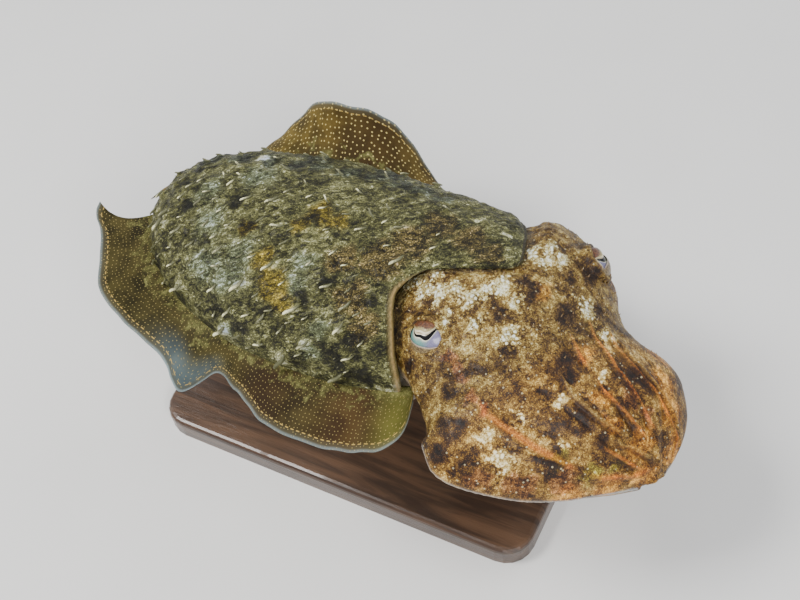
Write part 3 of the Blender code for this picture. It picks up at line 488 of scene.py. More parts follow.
def make_mantle_skin(spots):
    skin = welded_copy("mantle_skin", ["mantle"])
    modify(skin, "REMESH", mode="VOXEL", voxel_size=MANTLE_VOXEL)
    points = into(BODY, read_points(skin))
    smooth_onto_mantle(points)
    write_points(skin, out_of(BODY, points))
    modify(skin, "SMOOTH", factor=0.5, iterations=5)
    points = into(BODY, read_points(skin))
    angle, behind = smooth_onto_mantle(points)
    top = ease(points[:, 2], 2, 12) * ease(behind, 3, 9)
    lift = papilla_mounds(points, spots)
    # crests of the mounds: their own cream colour and a painted highlight
    pale_lit_crest = ease(lift, 0.25, 1.3)
    waves = ripple(points, (0.31, 1.3, 0.13), (0.23, 1.1, 0.17))
    small = ripple(points, (0.83, 1.9, 0.37), (0.71, 1.6, 0.41))
    lift += (0.5 * waves + 0.45 * small) * top
    near = ease(angle, 98, 112) * ease(points[:, 2], -6, 4)
    lift += 0.35 * hump(behind, 1.2, 1.7) * near
    lift -= 1.9 * (1 - near) * (points[:, 2] > 0) * ease(-behind, -9, 1)
    write_points(skin, out_of(BODY, points))
    raise_skin(skin, lift)
    bent = wobble(points, (1.6, 0.55), (0.8, 1.3))
    masks = {name: marks_mask(bent, marks) for name, marks in MANTLE_MARKS.items()}
    masks["above"] = ease(np.sin(np.radians(angle)), -0.4, -0.15)
    masks["margin"] = ease(3.2 - behind, 0, 0.8) * near
    masks["pale_lit_crest"] = pale_lit_crest
    masks["hem"] = hump(behind, 1.0, 0.35) * near
    masks["tail"] = ease(points[:, 1], 20, 75)
    # painted shade: a dark band along the mantle's front edge, where it meets the head
    masks["front_edge_shade"] = ease(1.3 - behind, 0, 0.6) * (1 - near)
    half, back, _, shift = mantle_size(points[:, 1])
    size = np.hypot((points[:, 0] - shift) / half, points[:, 2] / back)
    # painted shade: the inner wall of the mantle behind its open front edge is darkened
    masks["inside"] = ease(0.965 - size, 0, 0.02) * hump(behind, 2, 5) * (points[:, 2] > 0)
    keep_masks(skin, masks)
    return shade_smooth(skin)


# Skin of the head and arms

def crown_at(places):
    """Half width, widest level, top and sideways shift of the crown."""
    return [read_curve(CROWN_STATIONS, column, places) for column in (1, 2, 3, 4)]


def crown_shares(points):
    """How far round the crown each point lies: 0 on the top line, 1 at the flange's
    edge, up to 2 underneath; also the side, and the width of a share in millimetres."""
    half, level, top, shift = crown_at(points[:, 1])
    across = points[:, 0] - shift
    reach = np.clip(np.abs(across) / half, 0, 1)
    over = np.arcsin(reach ** (CROWN_ROUND / 2)) / (math.pi / 2)
    rise = np.clip((points[:, 2] - level) / (top - level), 0, 1)
    upward = np.arccos(np.clip(rise ** (CROWN_ROUND / 2), 0, 1)) / (math.pi / 2)
    share = np.where(reach < 0.75, over, upward)
    share = np.where(points[:, 2] < level - 1.5, 2 - over, share)
    return share, np.sign(across), half * 1.15


def unit_ball(segments, rings):
    deselect()
    bpy.ops.mesh.primitive_uv_sphere_add(segments=segments, ring_count=rings, radius=1)
    return bpy.context.object


def make_arm_tip():
    """A rounded core that closes the upper side of the arms' cone at its tip."""
    tip = unit_ball(48, 32)
    ball = read_points(tip)
    place = TIP_START - TIP_LENGTH * np.clip((1 + ball[:, 2]) / 2, 0, 1) ** 0.8
    ahead = (TIP_START - place) / TIP_LENGTH
    size = np.sqrt(np.clip(1 - ahead ** 6, 0, 1)) * (place < TIP_START - 0.01)
    half, level, top, shift = crown_at(place)
    turned = np.arctan2(ball[:, 1], ball[:, 0])
    side = np.sign(np.cos(turned)) * np.abs(np.cos(turned)) ** (2 / CROWN_ROUND)
    rise = np.abs(np.sin(turned)) ** (2 / CROWN_ROUND)
    rise = np.where(np.sin(turned) > 0, rise * (top - level - 0.6), -rise * 0.6)
    points = np.stack([shift + (half * 0.95 - 0.8) * side * size, place, level + rise * size], 1)
    write_points(tip, out_of(HEAD, points))
    return tip


def make_brow():
    """A low fold of skin above the left eye, where the socket's wall is thinnest."""
    brow = unit_ball(24, 32)
    ball = read_points(brow)
    round_off = np.maximum(np.hypot(ball[:, 0], ball[:, 1]), 1e-6) ** 0.5
    turned = np.radians(122 + 62 * ball[:, 2])
    lean = math.radians(59) + 0.16 * ball[:, 0] / round_off
    away = EYE_RADIUS + 0.1 + 0.9 * ball[:, 1] / round_off
    points = np.stack([np.sin(lean) * np.cos(turned), np.sin(lean) * np.sin(turned), np.cos(lean)], 1)
    write_points(brow, out_of(eye_frame(1), points * away[:, None]))
    return brow


def make_head_skin():
    crown = welded_copy("arms_copy", ARMS, swell=0.3 * MM)
    points = into(HEAD, read_points(crown))
    points[:, 1] += np.where(points[:, 1] > CROWN_START - 1.2, 3.0, 0.0)
    write_points(crown, out_of(HEAD, points))
    skin = welded_copy("head_skin", ["head"], swell=0.05 * MM)
    pieces = [crown, make_arm_tip(), make_brow(), skin]
    deselect()
    for piece in pieces:
        piece.select_set(True)
    bpy.context.view_layer.objects.active = skin
    bpy.ops.object.join()
    modify(skin, "REMESH", mode="VOXEL", voxel_size=HEAD_VOXEL)
    rest = into(HEAD, read_points(skin))
    soft = skin.vertex_groups.new(name="soft")
    weights = ease(rest[:, 1], -56, -47)
    eye = np.array(into(HEAD, np.array([eye_frame(1).translation, eye_frame(-1).translation])))
    for centre in eye:
        away = np.sqrt(((rest - centre) ** 2).sum(1))
        weights *= ease(away, 11, 15)
    for step in range(1, 11):
        chosen = np.nonzero(np.round(weights * 10) == step)[0]
        soft.add([int(i) for i in chosen], step / 10, "REPLACE")
    modify(skin, "SMOOTH", factor=0.5, iterations=14, vertex_group="soft")
    modify(skin, "SMOOTH", factor=0.5, iterations=3)
    shape_head_skin(skin)
    return shade_smooth(skin)


def flatten_arms(points):
    """Lay the outer faces of the arms nearly flush, on the crown's smooth curve."""
    half, level, top, shift = crown_at(points[:, 1])
    across = points[:, 0] - shift
    rise = points[:, 2] - level
    size = (np.abs(across) / half) ** CROWN_ROUND
    size += (np.maximum(rise, 0) / (top - level)) ** CROWN_ROUND
    scale = np.maximum(size, 1e-6) ** (-1 / CROWN_ROUND)
    near = ease(scale, 0.9, 0.94) * ease(-scale, -1.16, -1.1)
    hold = near * ease(-points[:, 1], 47, 53) * ease(104 + points[:, 1], 0, 5) * ease(rise, -1, 2)
    scale = 1 + (scale - 1) * hold * 0.72
    points[:, 0] = shift + across * scale
    points[:, 2] = level + rise * scale
    return points


def shape_head_skin(skin):
    """Folds, ridges and low lumps of the head, and the masks for its colours and its painted shade."""
    points = flatten_arms(into(HEAD, read_points(skin)))
    write_points(skin, out_of(HEAD, points))
    share, side, width = crown_shares(points)
    place = points[:, 1]
    half, level, top, shift = crown_at(place)
    size = (np.abs(points[:, 0] - shift) / half) ** CROWN_ROUND
    size += (np.maximum(points[:, 2] - level, 0) / (top - level)) ** CROWN_ROUND
    outside = ease(points[:, 2] - level, -1.0, 2.0)
    skin_side = np.maximum(ease(size, 0.72, 0.86), 1 - ease(-place, 44, 50))
    on_arms = ease(-place, 46, 58)
    groove_and_shade = np.zeros(len(points))
    for edge in ARM_EDGES:
        shifted = edge * (1 - ARM_GATHER * np.clip((-place - 50) / 53, 0, 1) ** 2)
        groove_and_shade = np.maximum(groove_and_shade, hump((share - shifted) * width, 0, 0.9))
    groove_and_shade *= on_arms * ease(-place, 52, 66) * ease(place, -98, -90)
    grey_line = line_mask(points, GREY_LINES, 0.9)
    orange_line = line_mask(points, ORANGE_LINES, 0.9)
    edge_line = line_mask(points, EDGE_LINES, 1.8)
    lumps = ripple(points, (0.42, 1.7, 0.19), (0.37, 1.4, 0.23))
    small = ripple(points, (0.9, 1.9, 0.5), (0.8, 1.6, 0.5))
    bent = wobble(points, (1.4, 0.6), (0.7, 1.5))
    masks = {name: marks_mask(bent, marks) for name, marks in HEAD_MARKS.items()}
    rough = 1 - 0.7 * on_arms
    lift = 1.1 * grey_line + 1.0 * orange_line + 0.9 * edge_line - 0.35 * groove_and_shade
    # a strip beside each raised line, sunk and painted dark as the line's shadow
    beside = line_mask(points + np.array((1.9, 0, 0)), GREY_LINES + ORANGE_LINES, 1.3)
    below = line_mask(points + np.array((1.5, -1.8, 1.5)), EDGE_LINES, 1.6)
    beside = np.maximum(beside, 0.8 * below)
    lift = lift - 0.7 * beside
    lift += (0.3 * lumps + 0.22 * small) * rough + 0.6 * masks["pale"] * rough
    lift = lift * outside
    raise_skin(skin, lift)
    # the grooves between the arms, sunk and also darkened as painted shade
    masks["groove_and_shade"] = groove_and_shade
    masks["share"] = share / 2
    masks["length"] = -place / 110
    masks["left"] = (side + 1) / 2
    masks["grey_line"] = grey_line
    masks["orange_line"] = np.maximum(orange_line, edge_line)
    masks["halo"] = marks_mask(bent, [(x, y, z, 2.1 * reach) for x, y, z, reach in HEAD_MARKS["pale"]])
    # painted shadow beside the raised lines
    masks["hollow"] = beside
    near_tip = ease(-place, 90, 94) * ease(points[:, 2] - level, -4, -2)
    masks["outside"] = np.maximum(outside * skin_side, near_tip)
    masks["arms"] = on_arms
    masks["rim"] = hump((share - 1) * width, 0, 1.3) * ease(-place, 30, 44)
    body = into(BODY, out_of(HEAD, points))
    half, back, _, shift = mantle_size(body[:, 1])
    angle = np.degrees(np.arctan2(body[:, 2] / back, (body[:, 0] - shift) / half))
    masks["shade"] = ease(body[:, 1] - mantle_front(angle), -2.6, 0.2) * ease(place, -12, -4)
    keep_masks(skin, masks)


# Eyes and lids

def eye_frame(side):
    """Frame of an eye: Z looks out of the socket, Y is up along the lid."""
    place = Vector((EYE_PLACE.x * side + EYE_SHIFT, EYE_PLACE.y, EYE_PLACE.z))
    axis = Vector((EYE_AXIS.x * side, EYE_AXIS.y, EYE_AXIS.z))
    across = Vector((0, 0, 1)).cross(axis).normalized()
    up = axis.cross(across)
    turned = Matrix((across, up, axis)).transposed().to_4x4()
    turned = turned @ Matrix.Rotation(math.radians(-EYE_ROLL * side), 4, "Z")
    return HEAD @ Matrix.Translation(place - axis * EYE_DEPTH * MM) @ turned


def apply_place(piece, place):
    """Set a piece that was modelled at the origin in its frame, in its mesh."""
    write_points(piece, out_of(place, read_points(piece) / MM))
    return piece


def make_eye(side, name):
    """The ball, with the clear skin over the pupil a little domed."""
    deselect()
    bpy.ops.mesh.primitive_uv_sphere_add(segments=64, ring_count=40, radius=(EYE_RADIUS - 0.1) * MM)
    eye = bpy.context.object
    eye.name = name
    points = read_points(eye) / MM
    away = np.hypot(points[:, 0], points[:, 1])
    front = points[:, 2] > 0
    points[:, 2] += 0.5 * hump(away, 0, 5.0) * front
    points *= (1 - 0.17 * ease(6.4 - points[:, 2], 0, 2.2))[:, None]
    write_points(eye, points * MM)
    shade_smooth(eye)
    return apply_place(eye, eye_frame(side))


def pupil_line(side, x):
    """Height of the pupil's middle line at a place across the eye."""
    t = (x - PUPIL_SHIFT * side) / PUPIL_SPAN
    bent = PUPIL_DEEP * (0.4 * t ** 2 + 0.6 * t ** 4) - 1.1 * side * t ** 3
    return bent + np.cos(2 * math.pi * t) * 0.35 + PUPIL_RAISE


def make_lids(side, name):
    """The rim of skin round the eye; above, it hangs down as a flap over the pupil."""
    deselect()
    bpy.ops.mesh.primitive_torus_add(major_segments=96, minor_segments=20,
                                     major_radius=LID_RING * MM, minor_radius=LID_TUBE * MM)
    lids = bpy.context.object
    lids.name = name
    points = read_points(lids) / MM
    around = np.arctan2(points[:, 1], points[:, 0])
    inward = (1 - (np.hypot(points[:, 0], points[:, 1]) - LID_RING) / LID_TUBE) / 2
    height = points[:, 2] / LID_TUBE
    upper = ease(np.sin(around), 0.0, 0.25)
    outer = np.stack([np.cos(around) * LID_OUTER[0], np.sin(around) * LID_OUTER[1]], 1)
    wide, high = LID_OPENING[side]
    open_x = np.cos(around) * wide
    below = high + (LOWER_OPENING[side] - high) * ease(-np.sin(around), 0, 0.5)
    open_y = np.sin(around) * below
    hang = np.minimum(pupil_line(side, np.clip(open_x, -6.6, 6.6)) + 1.5, np.maximum(open_y, 0.4))
    inner = np.stack([open_x, open_y + (hang - open_y) * upper], 1)
    flat = outer + (inner - outer) * inward[:, None]
    reach = np.hypot(flat[:, 0], flat[:, 1])
    rest = np.sqrt(np.maximum((EYE_RADIUS + 0.1) ** 2 - np.minimum(reach, 10.2) ** 2, 0))
    rest += 0.5 * hump(reach, 0, 5.0)
    thick = (0.45 + 0.5 * upper) * (1 - 0.45 * inward)
    crease = 0.35 * hump(inward, 0.45, 0.12) * upper
    points[:, :2] = flat
    points[:, 2] = rest + 0.1 + thick * (1 + height) - crease * (height > 0)
    points[:, 2] -= 4.0 * ease(0.3 - inward, 0, 0.3)
    if side > 0:
        points[:, 2] -= 2.0 * upper * ease(0.5 - inward, 0, 0.35)
    write_points(lids, points * MM)
    keep_masks(lids, {"inward": inward, "upper": upper})
    shade_smooth(lids)
    return apply_place(lids, eye_frame(side))


# Fins

def fin_lift(side, place, across):
    if side < 0:
        angle = -5 - 66 * hump(place, 22, 16) + 14 * hump(place, 62, 22)
    else:
        angle = -62 + 128 * hump(place, 22, 30) + 24 * hump(place, 98, 14)
    return np.radians(angle * (0.45 + 0.55 * np.maximum(across, 0)))


def fin_edge_root(side, places):
    last_place, last_half = MANTLE_STATIONS[-1][:2]
    left = np.clip((MANTLE_TAIL - places) / (MANTLE_TAIL - last_place), 0, 1)
    half, _, _, shift = mantle_size(places)
    return np.where(places <= last_place, half + shift * side, last_half * np.sqrt(left))


def fin_root_line(side, share):
    """Even steps along the root: place, distance from the middle, and way outwards."""
    dense = np.linspace(FIN_WIDTHS[side][0][0], MANTLE_TAIL - 0.9, 3000)
    root = fin_edge_root(side, dense)
    arc = np.r_[0, np.cumsum(np.hypot(np.diff(dense), np.diff(root)))]
    even = np.linspace(0, arc[-1], 600)
    turned = np.arctan2(-np.gradient(root, dense), 1)
    turned = np.interp(even, arc, turned)
    reach = 15
    padded = np.r_[np.full(reach, turned[0]), turned, np.full(reach, turned[-1])]
    turned = np.convolve(padded, np.ones(2 * reach + 1) / (2 * reach + 1), "valid")
    at = share * arc[-1]
    turned = np.interp(at, even, turned)
    out = np.stack([np.cos(turned), np.sin(turned), np.zeros_like(turned)], 1)
    return np.interp(at, arc, dense), np.interp(at, arc, root), out


def make_fin(side, name):
    """A thin waving membrane, its root sunk in the mantle's skin."""
    deselect()
    bpy.ops.mesh.primitive_grid_add(x_subdivisions=FIN_GRID[0], y_subdivisions=FIN_GRID[1], size=2)
    fin = bpy.context.object
    fin.name = name
    grid = read_points(fin)
    share = (grid[:, 0] + 1) / 2
    across = (grid[:, 1] + 1) / 2
    places, root_x, out = fin_root_line(side, share)
    width = read_curve(FIN_WIDTHS[side], 1, places)
    points = np.stack([root_x, places, np.zeros_like(places)], 1) - out * FIN_SINK
    for k in range(FIN_STEPS):
        step_across = (k + 0.5) / FIN_STEPS
        used = np.clip(across * FIN_STEPS - k, 0, 1)
        lift = fin_lift(side, places, step_across)
        way = out * np.cos(lift)[:, None]
        way[:, 2] += np.sin(lift)
        points += way * (used * (width + FIN_EXTRA) / FIN_STEPS)[:, None]
    frill = np.sin(places * 0.55 + 1.5 * np.sin(places * 0.11)) * across ** 3 * 0.5
    points[:, 2] += frill
    tailward = np.stack([-out[:, 1], out[:, 0], np.zeros_like(places)], 1)
    bow = 5.5 * across ** 4 - 5 * np.sin(math.pi * across) * (side < 0)
    points += tailward * (ease(share, 0.88, 1.0) ** 2 * bow)[:, None]
    points[:, 0] *= side
    write_points(fin, out_of(BODY, points))
    thick = fin.vertex_groups.new(name="thick")
    for vertex in fin.data.vertices:
        thick.add([vertex.index], max(0.0, 1 - across[vertex.index] ** 0.8), "REPLACE")
    masks = {"across": across, "along": share, "edge": (1 - across) * width / FIN_REACH}
    for tint, spots in FIN_SPOTS.items():
        middle, reach, outer = spots[0 if side < 0 else 1]
        masks[tint] = hump(share, middle, reach) * ease(across, outer * 0.5, outer + 0.02)
    keep_masks(fin, masks)
    if side > 0:
        bpy.ops.object.mode_set(mode="EDIT")
        bpy.ops.mesh.select_all(action="SELECT")
        bpy.ops.mesh.flip_normals()
        bpy.ops.object.mode_set(mode="OBJECT")
    modify(fin, "SOLIDIFY", thickness=(FIN_ROOT - 0.4) * MM, offset=0.0, vertex_group="thick",
           thickness_vertex_group=0.22)
    return shade_smooth(fin)


# Papillae and suckers

def ring_faces(rings, sides):
    """Faces of a stack of rings with a point at its end and a flat start."""
    faces = []
    for ring in range(rings - 1):
        for k in range(sides):
            a, b = ring * sides + k, ring * sides + (k + 1) % sides
            faces.append((a, b, b + sides, a + sides))
    last = (rings - 1) * sides
    faces += [(last + k, last + (k + 1) % sides, last + sides) for k in range(sides)]
    faces.append(tuple(range(sides - 1, -1, -1)))
    return faces


def papilla_pattern():
    """Points and faces of one papilla: rings that narrow and bend back to a tip."""
    heights = (-0.5, -0.02, 0.16, 0.38, 0.6, 0.8, 0.94)
    sizes = (0.62, 0.56, 0.4, 0.29, 0.22, 0.15, 0.08)
    sides = 7
    points = []
    for height, size in zip(heights, sizes):
        lean = 0.55 * max(height, 0) ** 1.8
        for k in range(sides):
            turned = 2 * math.pi * k / sides
            points.append((size * math.cos(turned), lean + 0.72 * size * math.sin(turned), height))
    points.append((0, 0.62, 0.99))
    return np.array(points), ring_faces(len(heights), sides)


def ridge_pattern():
    """Points and faces of a large papilla: it lies along the skin and rises to a hook."""
    spine = ((-2.6, -0.42, 0.20), (-1.9, -0.16, 0.36), (-1.1, 0.08, 0.46), (-0.3, 0.30, 0.46),
             (0.4, 0.52, 0.42), (0.95, 0.72, 0.36), (1.35, 0.82, 0.28), (1.62, 0.76, 0.17))
    sides = 9
    points = []
    for number, (ahead, up, size) in enumerate(spine):
        before, after = spine[max(number - 1, 0)], spine[min(number + 1, len(spine) - 1)]
        slope = math.atan2(after[1] - before[1], after[0] - before[0])
        swing = 0.16 * math.sin(ahead * 1.7)
        for k in range(sides):
            turned = 2 * math.pi * k / sides
            rise = size * math.sin(turned)
            points.append((-size * math.cos(turned) + swing, ahead - rise * math.sin(slope),
                           up + rise * math.cos(slope)))
    points.append((0.1, 1.72, 0.64))
    return np.array(points), ring_faces(len(spine), sides)


def sucker_pattern():
    """Points and faces of one sucker: a stalk, a round cup and its hollow."""
    profile = ((0.55, -0.6), (0.5, 0.15), (0.86, 0.45), (1.0, 0.75), (0.96, 0.95),
               (0.78, 1.0), (0.62, 0.88), (0.4, 0.6))
    sides = 12
    points = []
    for size, height in profile:
        for k in range(sides):
            turned = 2 * math.pi * k / sides
            points.append((size * math.cos(turned), size * math.sin(turned), height))
    points.append((0, 0, 0.5))
    return np.array(points), ring_faces(len(profile), sides)


def stamp(name, pattern, places):
    """Copy a pattern to many places, as one mesh."""
    shape, faces = pattern
    points, all_faces, tips = [], [], []
    for number, place in enumerate(places):
        matrix = np.array(place)
        points.append(shape @ matrix[:3, :3].T + matrix[:3, 3])
        start = number * len(shape)
        all_faces += [tuple(start + i for i in face) for face in faces]
        tips.append(np.clip(shape[:, 2], 0, 1))
    data = bpy.data.meshes.new(name)
    paler = random.Random(SEED + len(places))
    tips = [tip * paler.uniform(0.3, 1.15) for tip in tips]
    data.from_pydata(np.concatenate(points).tolist(), [], all_faces)
    piece = bpy.data.objects.new(name, data)
    bpy.context.scene.collection.objects.link(piece)
    keep_mask(piece, "tip", np.concatenate(tips))
    return shade_smooth(piece)


def surface_of(piece):
    points = [vertex.co.copy() for vertex in piece.data.vertices]
    faces = [tuple(polygon.vertices) for polygon in piece.data.polygons]
    return BVHTree.FromPolygons(points, faces)


def stand_on(root, normal, lean, across_size, height):
    """Frame of something that grows from a surface and leans one way."""
    up = normal.normalized()
    across = lean.cross(up).normalized()
    ahead = up.cross(across)
    turned = Matrix((across * across_size, ahead * across_size, up * height)).transposed().to_4x4()
    turned.translation = root
    return turned


def make_mantle_papillae(surface, spots, large):
    """The papillae of the mantle, either the large ridges or the small points."""
    draw = random.Random(SEED + 1 + large)
    places = []
    for place, angle, height in spots:
        if (height >= RIDGE_HEIGHT) != large:
            continue
        here, lean, _, out = mantle_axes(place, angle)
        start, end = (BODY @ ((here + out * away) * MM) for away in (9, -9))
        root, normal, _, _ = surface.ray_cast(start, end - start)
        if root is None:
            continue
        lean = lean + Vector([draw.uniform(-0.3, 0.3) for _ in range(3)])
        size = (0.34 * height + 0.30) * draw.uniform(0.85, 1.15) * MM
        tall = size if large else height * 0.8 * MM
        up = (normal + lean * (0.1 if large else 0.5)).normalized()
        places.append(stand_on(root - up * 0.05 * MM, up, lean, size, tall))
    pattern = ridge_pattern() if large else papilla_pattern()
    return stamp("mantle_ridges" if large else "mantle_papillae", pattern, places)


def make_head_papillae(surface):
    """Small papillae over the head and the bases of the arms, taller above the eyes."""
    draw = random.Random(SEED + 2)
    places = []
    tries = 0
    spots = []
    while len(spots) < HEAD_PAPILLAE and tries < HEAD_TRIES:
        tries += 1
        spot = Vector((draw.uniform(-52, 52), draw.uniform(-60, 12), 60))
        if any((spot - other).length < HEAD_PAPILLA_ROOM for other in spots):
            continue
        outer = HEAD @ (spot * MM)
        way = HEAD.to_3x3() @ Vector((0, 0, -1))
        root, normal, _, _ = surface.ray_cast(outer, way)
        if root is None or normal.z < 0.25:
            continue
        eyes = [eye_frame(side).translation for side in (1, -1)]
        if min((root - eye).length for eye in eyes) < EYE_ROOM * MM:
            continue
        spots.append(spot)
        brow = max(float(hump((root - eye).length / MM, 16, 5)) for eye in eyes)
        height = draw.uniform(0.5, 1.1) + 0.5 * brow * draw.random()
        lean = HEAD.to_3x3() @ Vector((draw.uniform(-0.6, 0.6), 1, 0))
        width = (0.45 * height + 0.45) * MM
        places.append(stand_on(root, normal, lean, width, height * MM))
    return stamp("head_papillae", papilla_pattern(), places)


def packed_suckers(node):
    """Middle, direction and radius of each sucker on a packed arm, found as the six
    triangles that meet in the middle of its cup."""
    piece = welded_copy("arm_measure", [node])
    around = {}
    for polygon in piece.data.polygons:
        corners = list(polygon.vertices)
        for i in corners:
            around.setdefault(i, set()).update(c for c in corners if c != i)
    found = []
    for i, others in around.items():
        if len(others) != 6:
            continue
        rim = [piece.data.vertices[k].co for k in others]
        middle = sum(rim, Vector()) / 6
        reach = [(point - middle).length for point in rim]
        size = sum(reach) / 6
        depth = (piece.data.vertices[i].co - middle).length
        if max(reach) - min(reach) < 0.04 * size and 0.3 * size < depth < 0.6 * size:
            found.append((middle.copy(), (middle - piece.data.vertices[i].co).normalized(), size))
    bpy.data.objects.remove(piece, do_unlink=True)
    return found


def make_suckers(surface):
    """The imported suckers, finer, with more between them and beside them."""
    places = []
    for node in ARMS:
        row = sorted(packed_suckers(node), key=lambda item: (HEAD.inverted() @ item[0]).y)
        for (middle, way, size), (after, _, _) in zip(row, row[1:] + row[-1:]):
            step = (after - middle) / 2
            beside = step.cross(way).normalized() * size * 1.25
            for shift, scale in ((Vector(), 1.0), (step + beside, 0.7), (step - beside, 0.7)):
                root, normal, _, gap = surface.find_nearest(middle - way * size * 0.6 + shift)
                if root is None or gap > 3 * MM:
                    continue
                if normal.dot(way) < 0.2:
                    continue
                radius = size * 0.95 * scale
                places.append(stand_on(root, normal, Vector((0, 1, 0.3)), radius, radius * 0.95))
    return stamp("suckers", sucker_pattern(), places)


def make_funnel():
    funnel = welded_copy("funnel_tube", ["funnel"])
    modify(funnel, "SUBSURF", levels=2, render_levels=2)
    return shade_smooth(funnel)


# Materials

class Value:
    """A socket that takes part in sums as a number does."""

    def __init__(self, paint, socket):
        self.paint = paint
        self.socket = socket

    def sum_with(self, operation, other, swap=False):
        sides = (other, self) if swap else (self, other)
        return self.paint.add("ShaderNodeMath", {"operation": operation}, {0: sides[0], 1: sides[1]})

    def __add__(self, other):
        return self.sum_with("ADD", other)

    __radd__ = __add__

    def __sub__(self, other):
        return self.sum_with("SUBTRACT", other)

    def __rsub__(self, other):
        return self.sum_with("SUBTRACT", other, swap=True)

    def __mul__(self, other):
        return self.sum_with("MULTIPLY", other)

    __rmul__ = __mul__

    def __truediv__(self, other):
        return self.sum_with("DIVIDE", other)

    def __abs__(self):
        return self.paint.add("ShaderNodeMath", {"operation": "ABSOLUTE"}, {0: self})

    def over(self, low, high):
        """0 below low, 1 above high, and smooth between."""
        return self.paint.add("ShaderNodeMapRange", {"interpolation_type": "SMOOTHSTEP"},
                              {"Value": self, "From Min": low, "From Max": high})

    def limit(self):
        return self.paint.add("ShaderNodeClamp", {}, {"Value": self})


class Paint:
    """One material and the nodes that make its finish."""

    def __init__(self, name):
        self.material = bpy.data.materials.new(name)
        self.material.use_nodes = True
        self.tree = self.material.node_tree
        self.shader = self.tree.nodes["Principled BSDF"]

    def add(self, kind, settings, values, output=0):
        node = self.tree.nodes.new(kind)
        for name, value in settings.items():
            if name == "stops":
                self.set_stops(node.color_ramp, value)
            else:
                setattr(node, name, value)
        for name, value in values.items():
            if isinstance(value, Value):
                self.tree.links.new(value.socket, node.inputs[name])
            else:
                node.inputs[name].default_value = value
        return Value(self, node.outputs[output])

    def set_stops(self, ramp, stops):
        while len(ramp.elements) > 1:
            ramp.elements.remove(ramp.elements[-1])
        for number, (place, colour) in enumerate(stops):
            stop = ramp.elements[0] if number == 0 else ramp.elements.new(place)
            stop.position = place
            stop.color = (*colour, 1.0)

    def mask(self, name):
        return self.add("ShaderNodeAttribute", {"attribute_name": name}, {}, "Fac")

    def place(self, frame_matrix=None, stretch=(1, 1, 1)):
        """Millimetres in a frame, from the piece's own coordinates."""
        spot = self.add("ShaderNodeTexCoord", {}, {}, "Object")
        matrix = frame_matrix or Matrix.Identity(4)
        return self.add("ShaderNodeMapping", {"vector_type": "TEXTURE"},
                        {"Vector": spot, "Location": matrix.translation,
                         "Rotation": tuple(matrix.to_euler()),
                         "Scale": tuple(MM * s for s in stretch)})

    def noise(self, spot, size, detail=2.0, roughness=0.5, warp=0.0):
        """Soft noise whose lumps are about size millimetres."""
        return self.add("ShaderNodeTexNoise", {}, {"Vector": spot, "Scale": 1.0 / size,
                        "Detail": detail, "Roughness": roughness, "Distortion": warp}, "Fac")

    def cells(self, spot, size, output="Distance"):
        return self.add("ShaderNodeTexVoronoi", {}, {"Vector": spot, "Scale": 1.0 / size}, output)

    def sheet_dots(self, spot, size, radius):
        """Dots in fairly even rows on a sheet."""
        away = self.add("ShaderNodeTexVoronoi", {"voronoi_dimensions": "2D"},
                        {"Vector": spot, "Scale": 1.0 / size, "Randomness": 0.5}, "Distance")
        return 1 - away.over(radius * 0.6, radius)

    def dots(self, spot, size, radius, share=1.0):
        """Round dots in a jittered grid; only a share of the cells has one."""
        away = self.cells(spot, size)
        dot = 1 - away.over(radius * 0.7, radius)
        if share < 1:
            lot = self.add("ShaderNodeSeparateColor", {}, {"Color": self.cells(spot, size, "Color")})
            dot = dot * (1 - lot.over(share - 0.02, share + 0.02))
        return dot

    def mix(self, share, first, second):
        """A colour between two."""
        kind = {"data_type": "RGBA", "clamp_factor": True}
        sides = [value if isinstance(value, Value) else (*value, 1.0) for value in (first, second)]
        return self.add("ShaderNodeMix", kind, {0: share, 6: sides[0], 7: sides[1]}, 2)

    def ramp(self, level, stops):
        """A colour that runs from dark to light along a row of stops."""
        return self.add("ShaderNodeValToRGB", {"stops": stops}, {"Fac": level})

    def tint(self, share, colour, tone):
        """Multiply a colour by a tone where the share says so."""
        kind = {"data_type": "RGBA", "blend_type": "MULTIPLY", "clamp_factor": True}
        return self.add("ShaderNodeMix", kind, {0: share, 6: colour, 7: (*tone, 1.0)}, 2)

    def axes(self, spot):
        parts = self.tree.nodes.new("ShaderNodeSeparateXYZ")
        self.tree.links.new(spot.socket, parts.inputs[0])
        return [Value(self, output) for output in parts.outputs]

    def finish(self, colour, roughness, height=None, depth=0.5, coat=0.0, metallic=0.0,
               specular=0.5):
        """Link the finish to the shader; height is a relief in millimetres times depth."""
        for name, value in (("Base Color", colour), ("Roughness", roughness),
                            ("Metallic", metallic), ("Coat Weight", coat)):
            if isinstance(value, Value):
                self.tree.links.new(value.socket, self.shader.inputs[name])
            elif name == "Base Color":
                self.shader.inputs[name].default_value = (*value, 1.0)
            else:
                self.shader.inputs[name].default_value = value
        self.shader.inputs["Specular IOR Level"].default_value = specular
        if height is not None:
            bump = self.add("ShaderNodeBump", {}, {"Height": height, "Distance": depth * MM,
                                                   "Strength": 1.0})
            self.tree.links.new(bump.socket, self.shader.inputs["Normal"])
        return self.material


MANTLE_TONES = (
    (0.0, (0.003, 0.003, 0.001)), (0.25, (0.016, 0.015, 0.005)), (0.45, (0.078, 0.076, 0.021)),
    (0.62, (0.205, 0.200, 0.066)), (0.8, (0.50, 0.49, 0.24)), (1.0, (0.88, 0.86, 0.62)),
)
# Tints of the head's marks: name, strength, tone
HEAD_TINTS = (("ochre", 0.8, (1.40, 1.00, 0.45)), ("green", 0.8, (0.85, 1.20, 0.50)),
              ("purple", 0.8, (0.95, 0.70, 1.05)), ("pink", 0.65, (1.20, 0.60, 0.90)))
HEAD_TONES = (
    (0.0, (0.005, 0.002, 0.001)), (0.25, (0.030, 0.012, 0.003)), (0.45, (0.140, 0.078, 0.014)),
    (0.62, (0.340, 0.235, 0.058)), (0.8, (0.66, 0.55, 0.24)), (1.0, (0.92, 0.88, 0.64)),
)


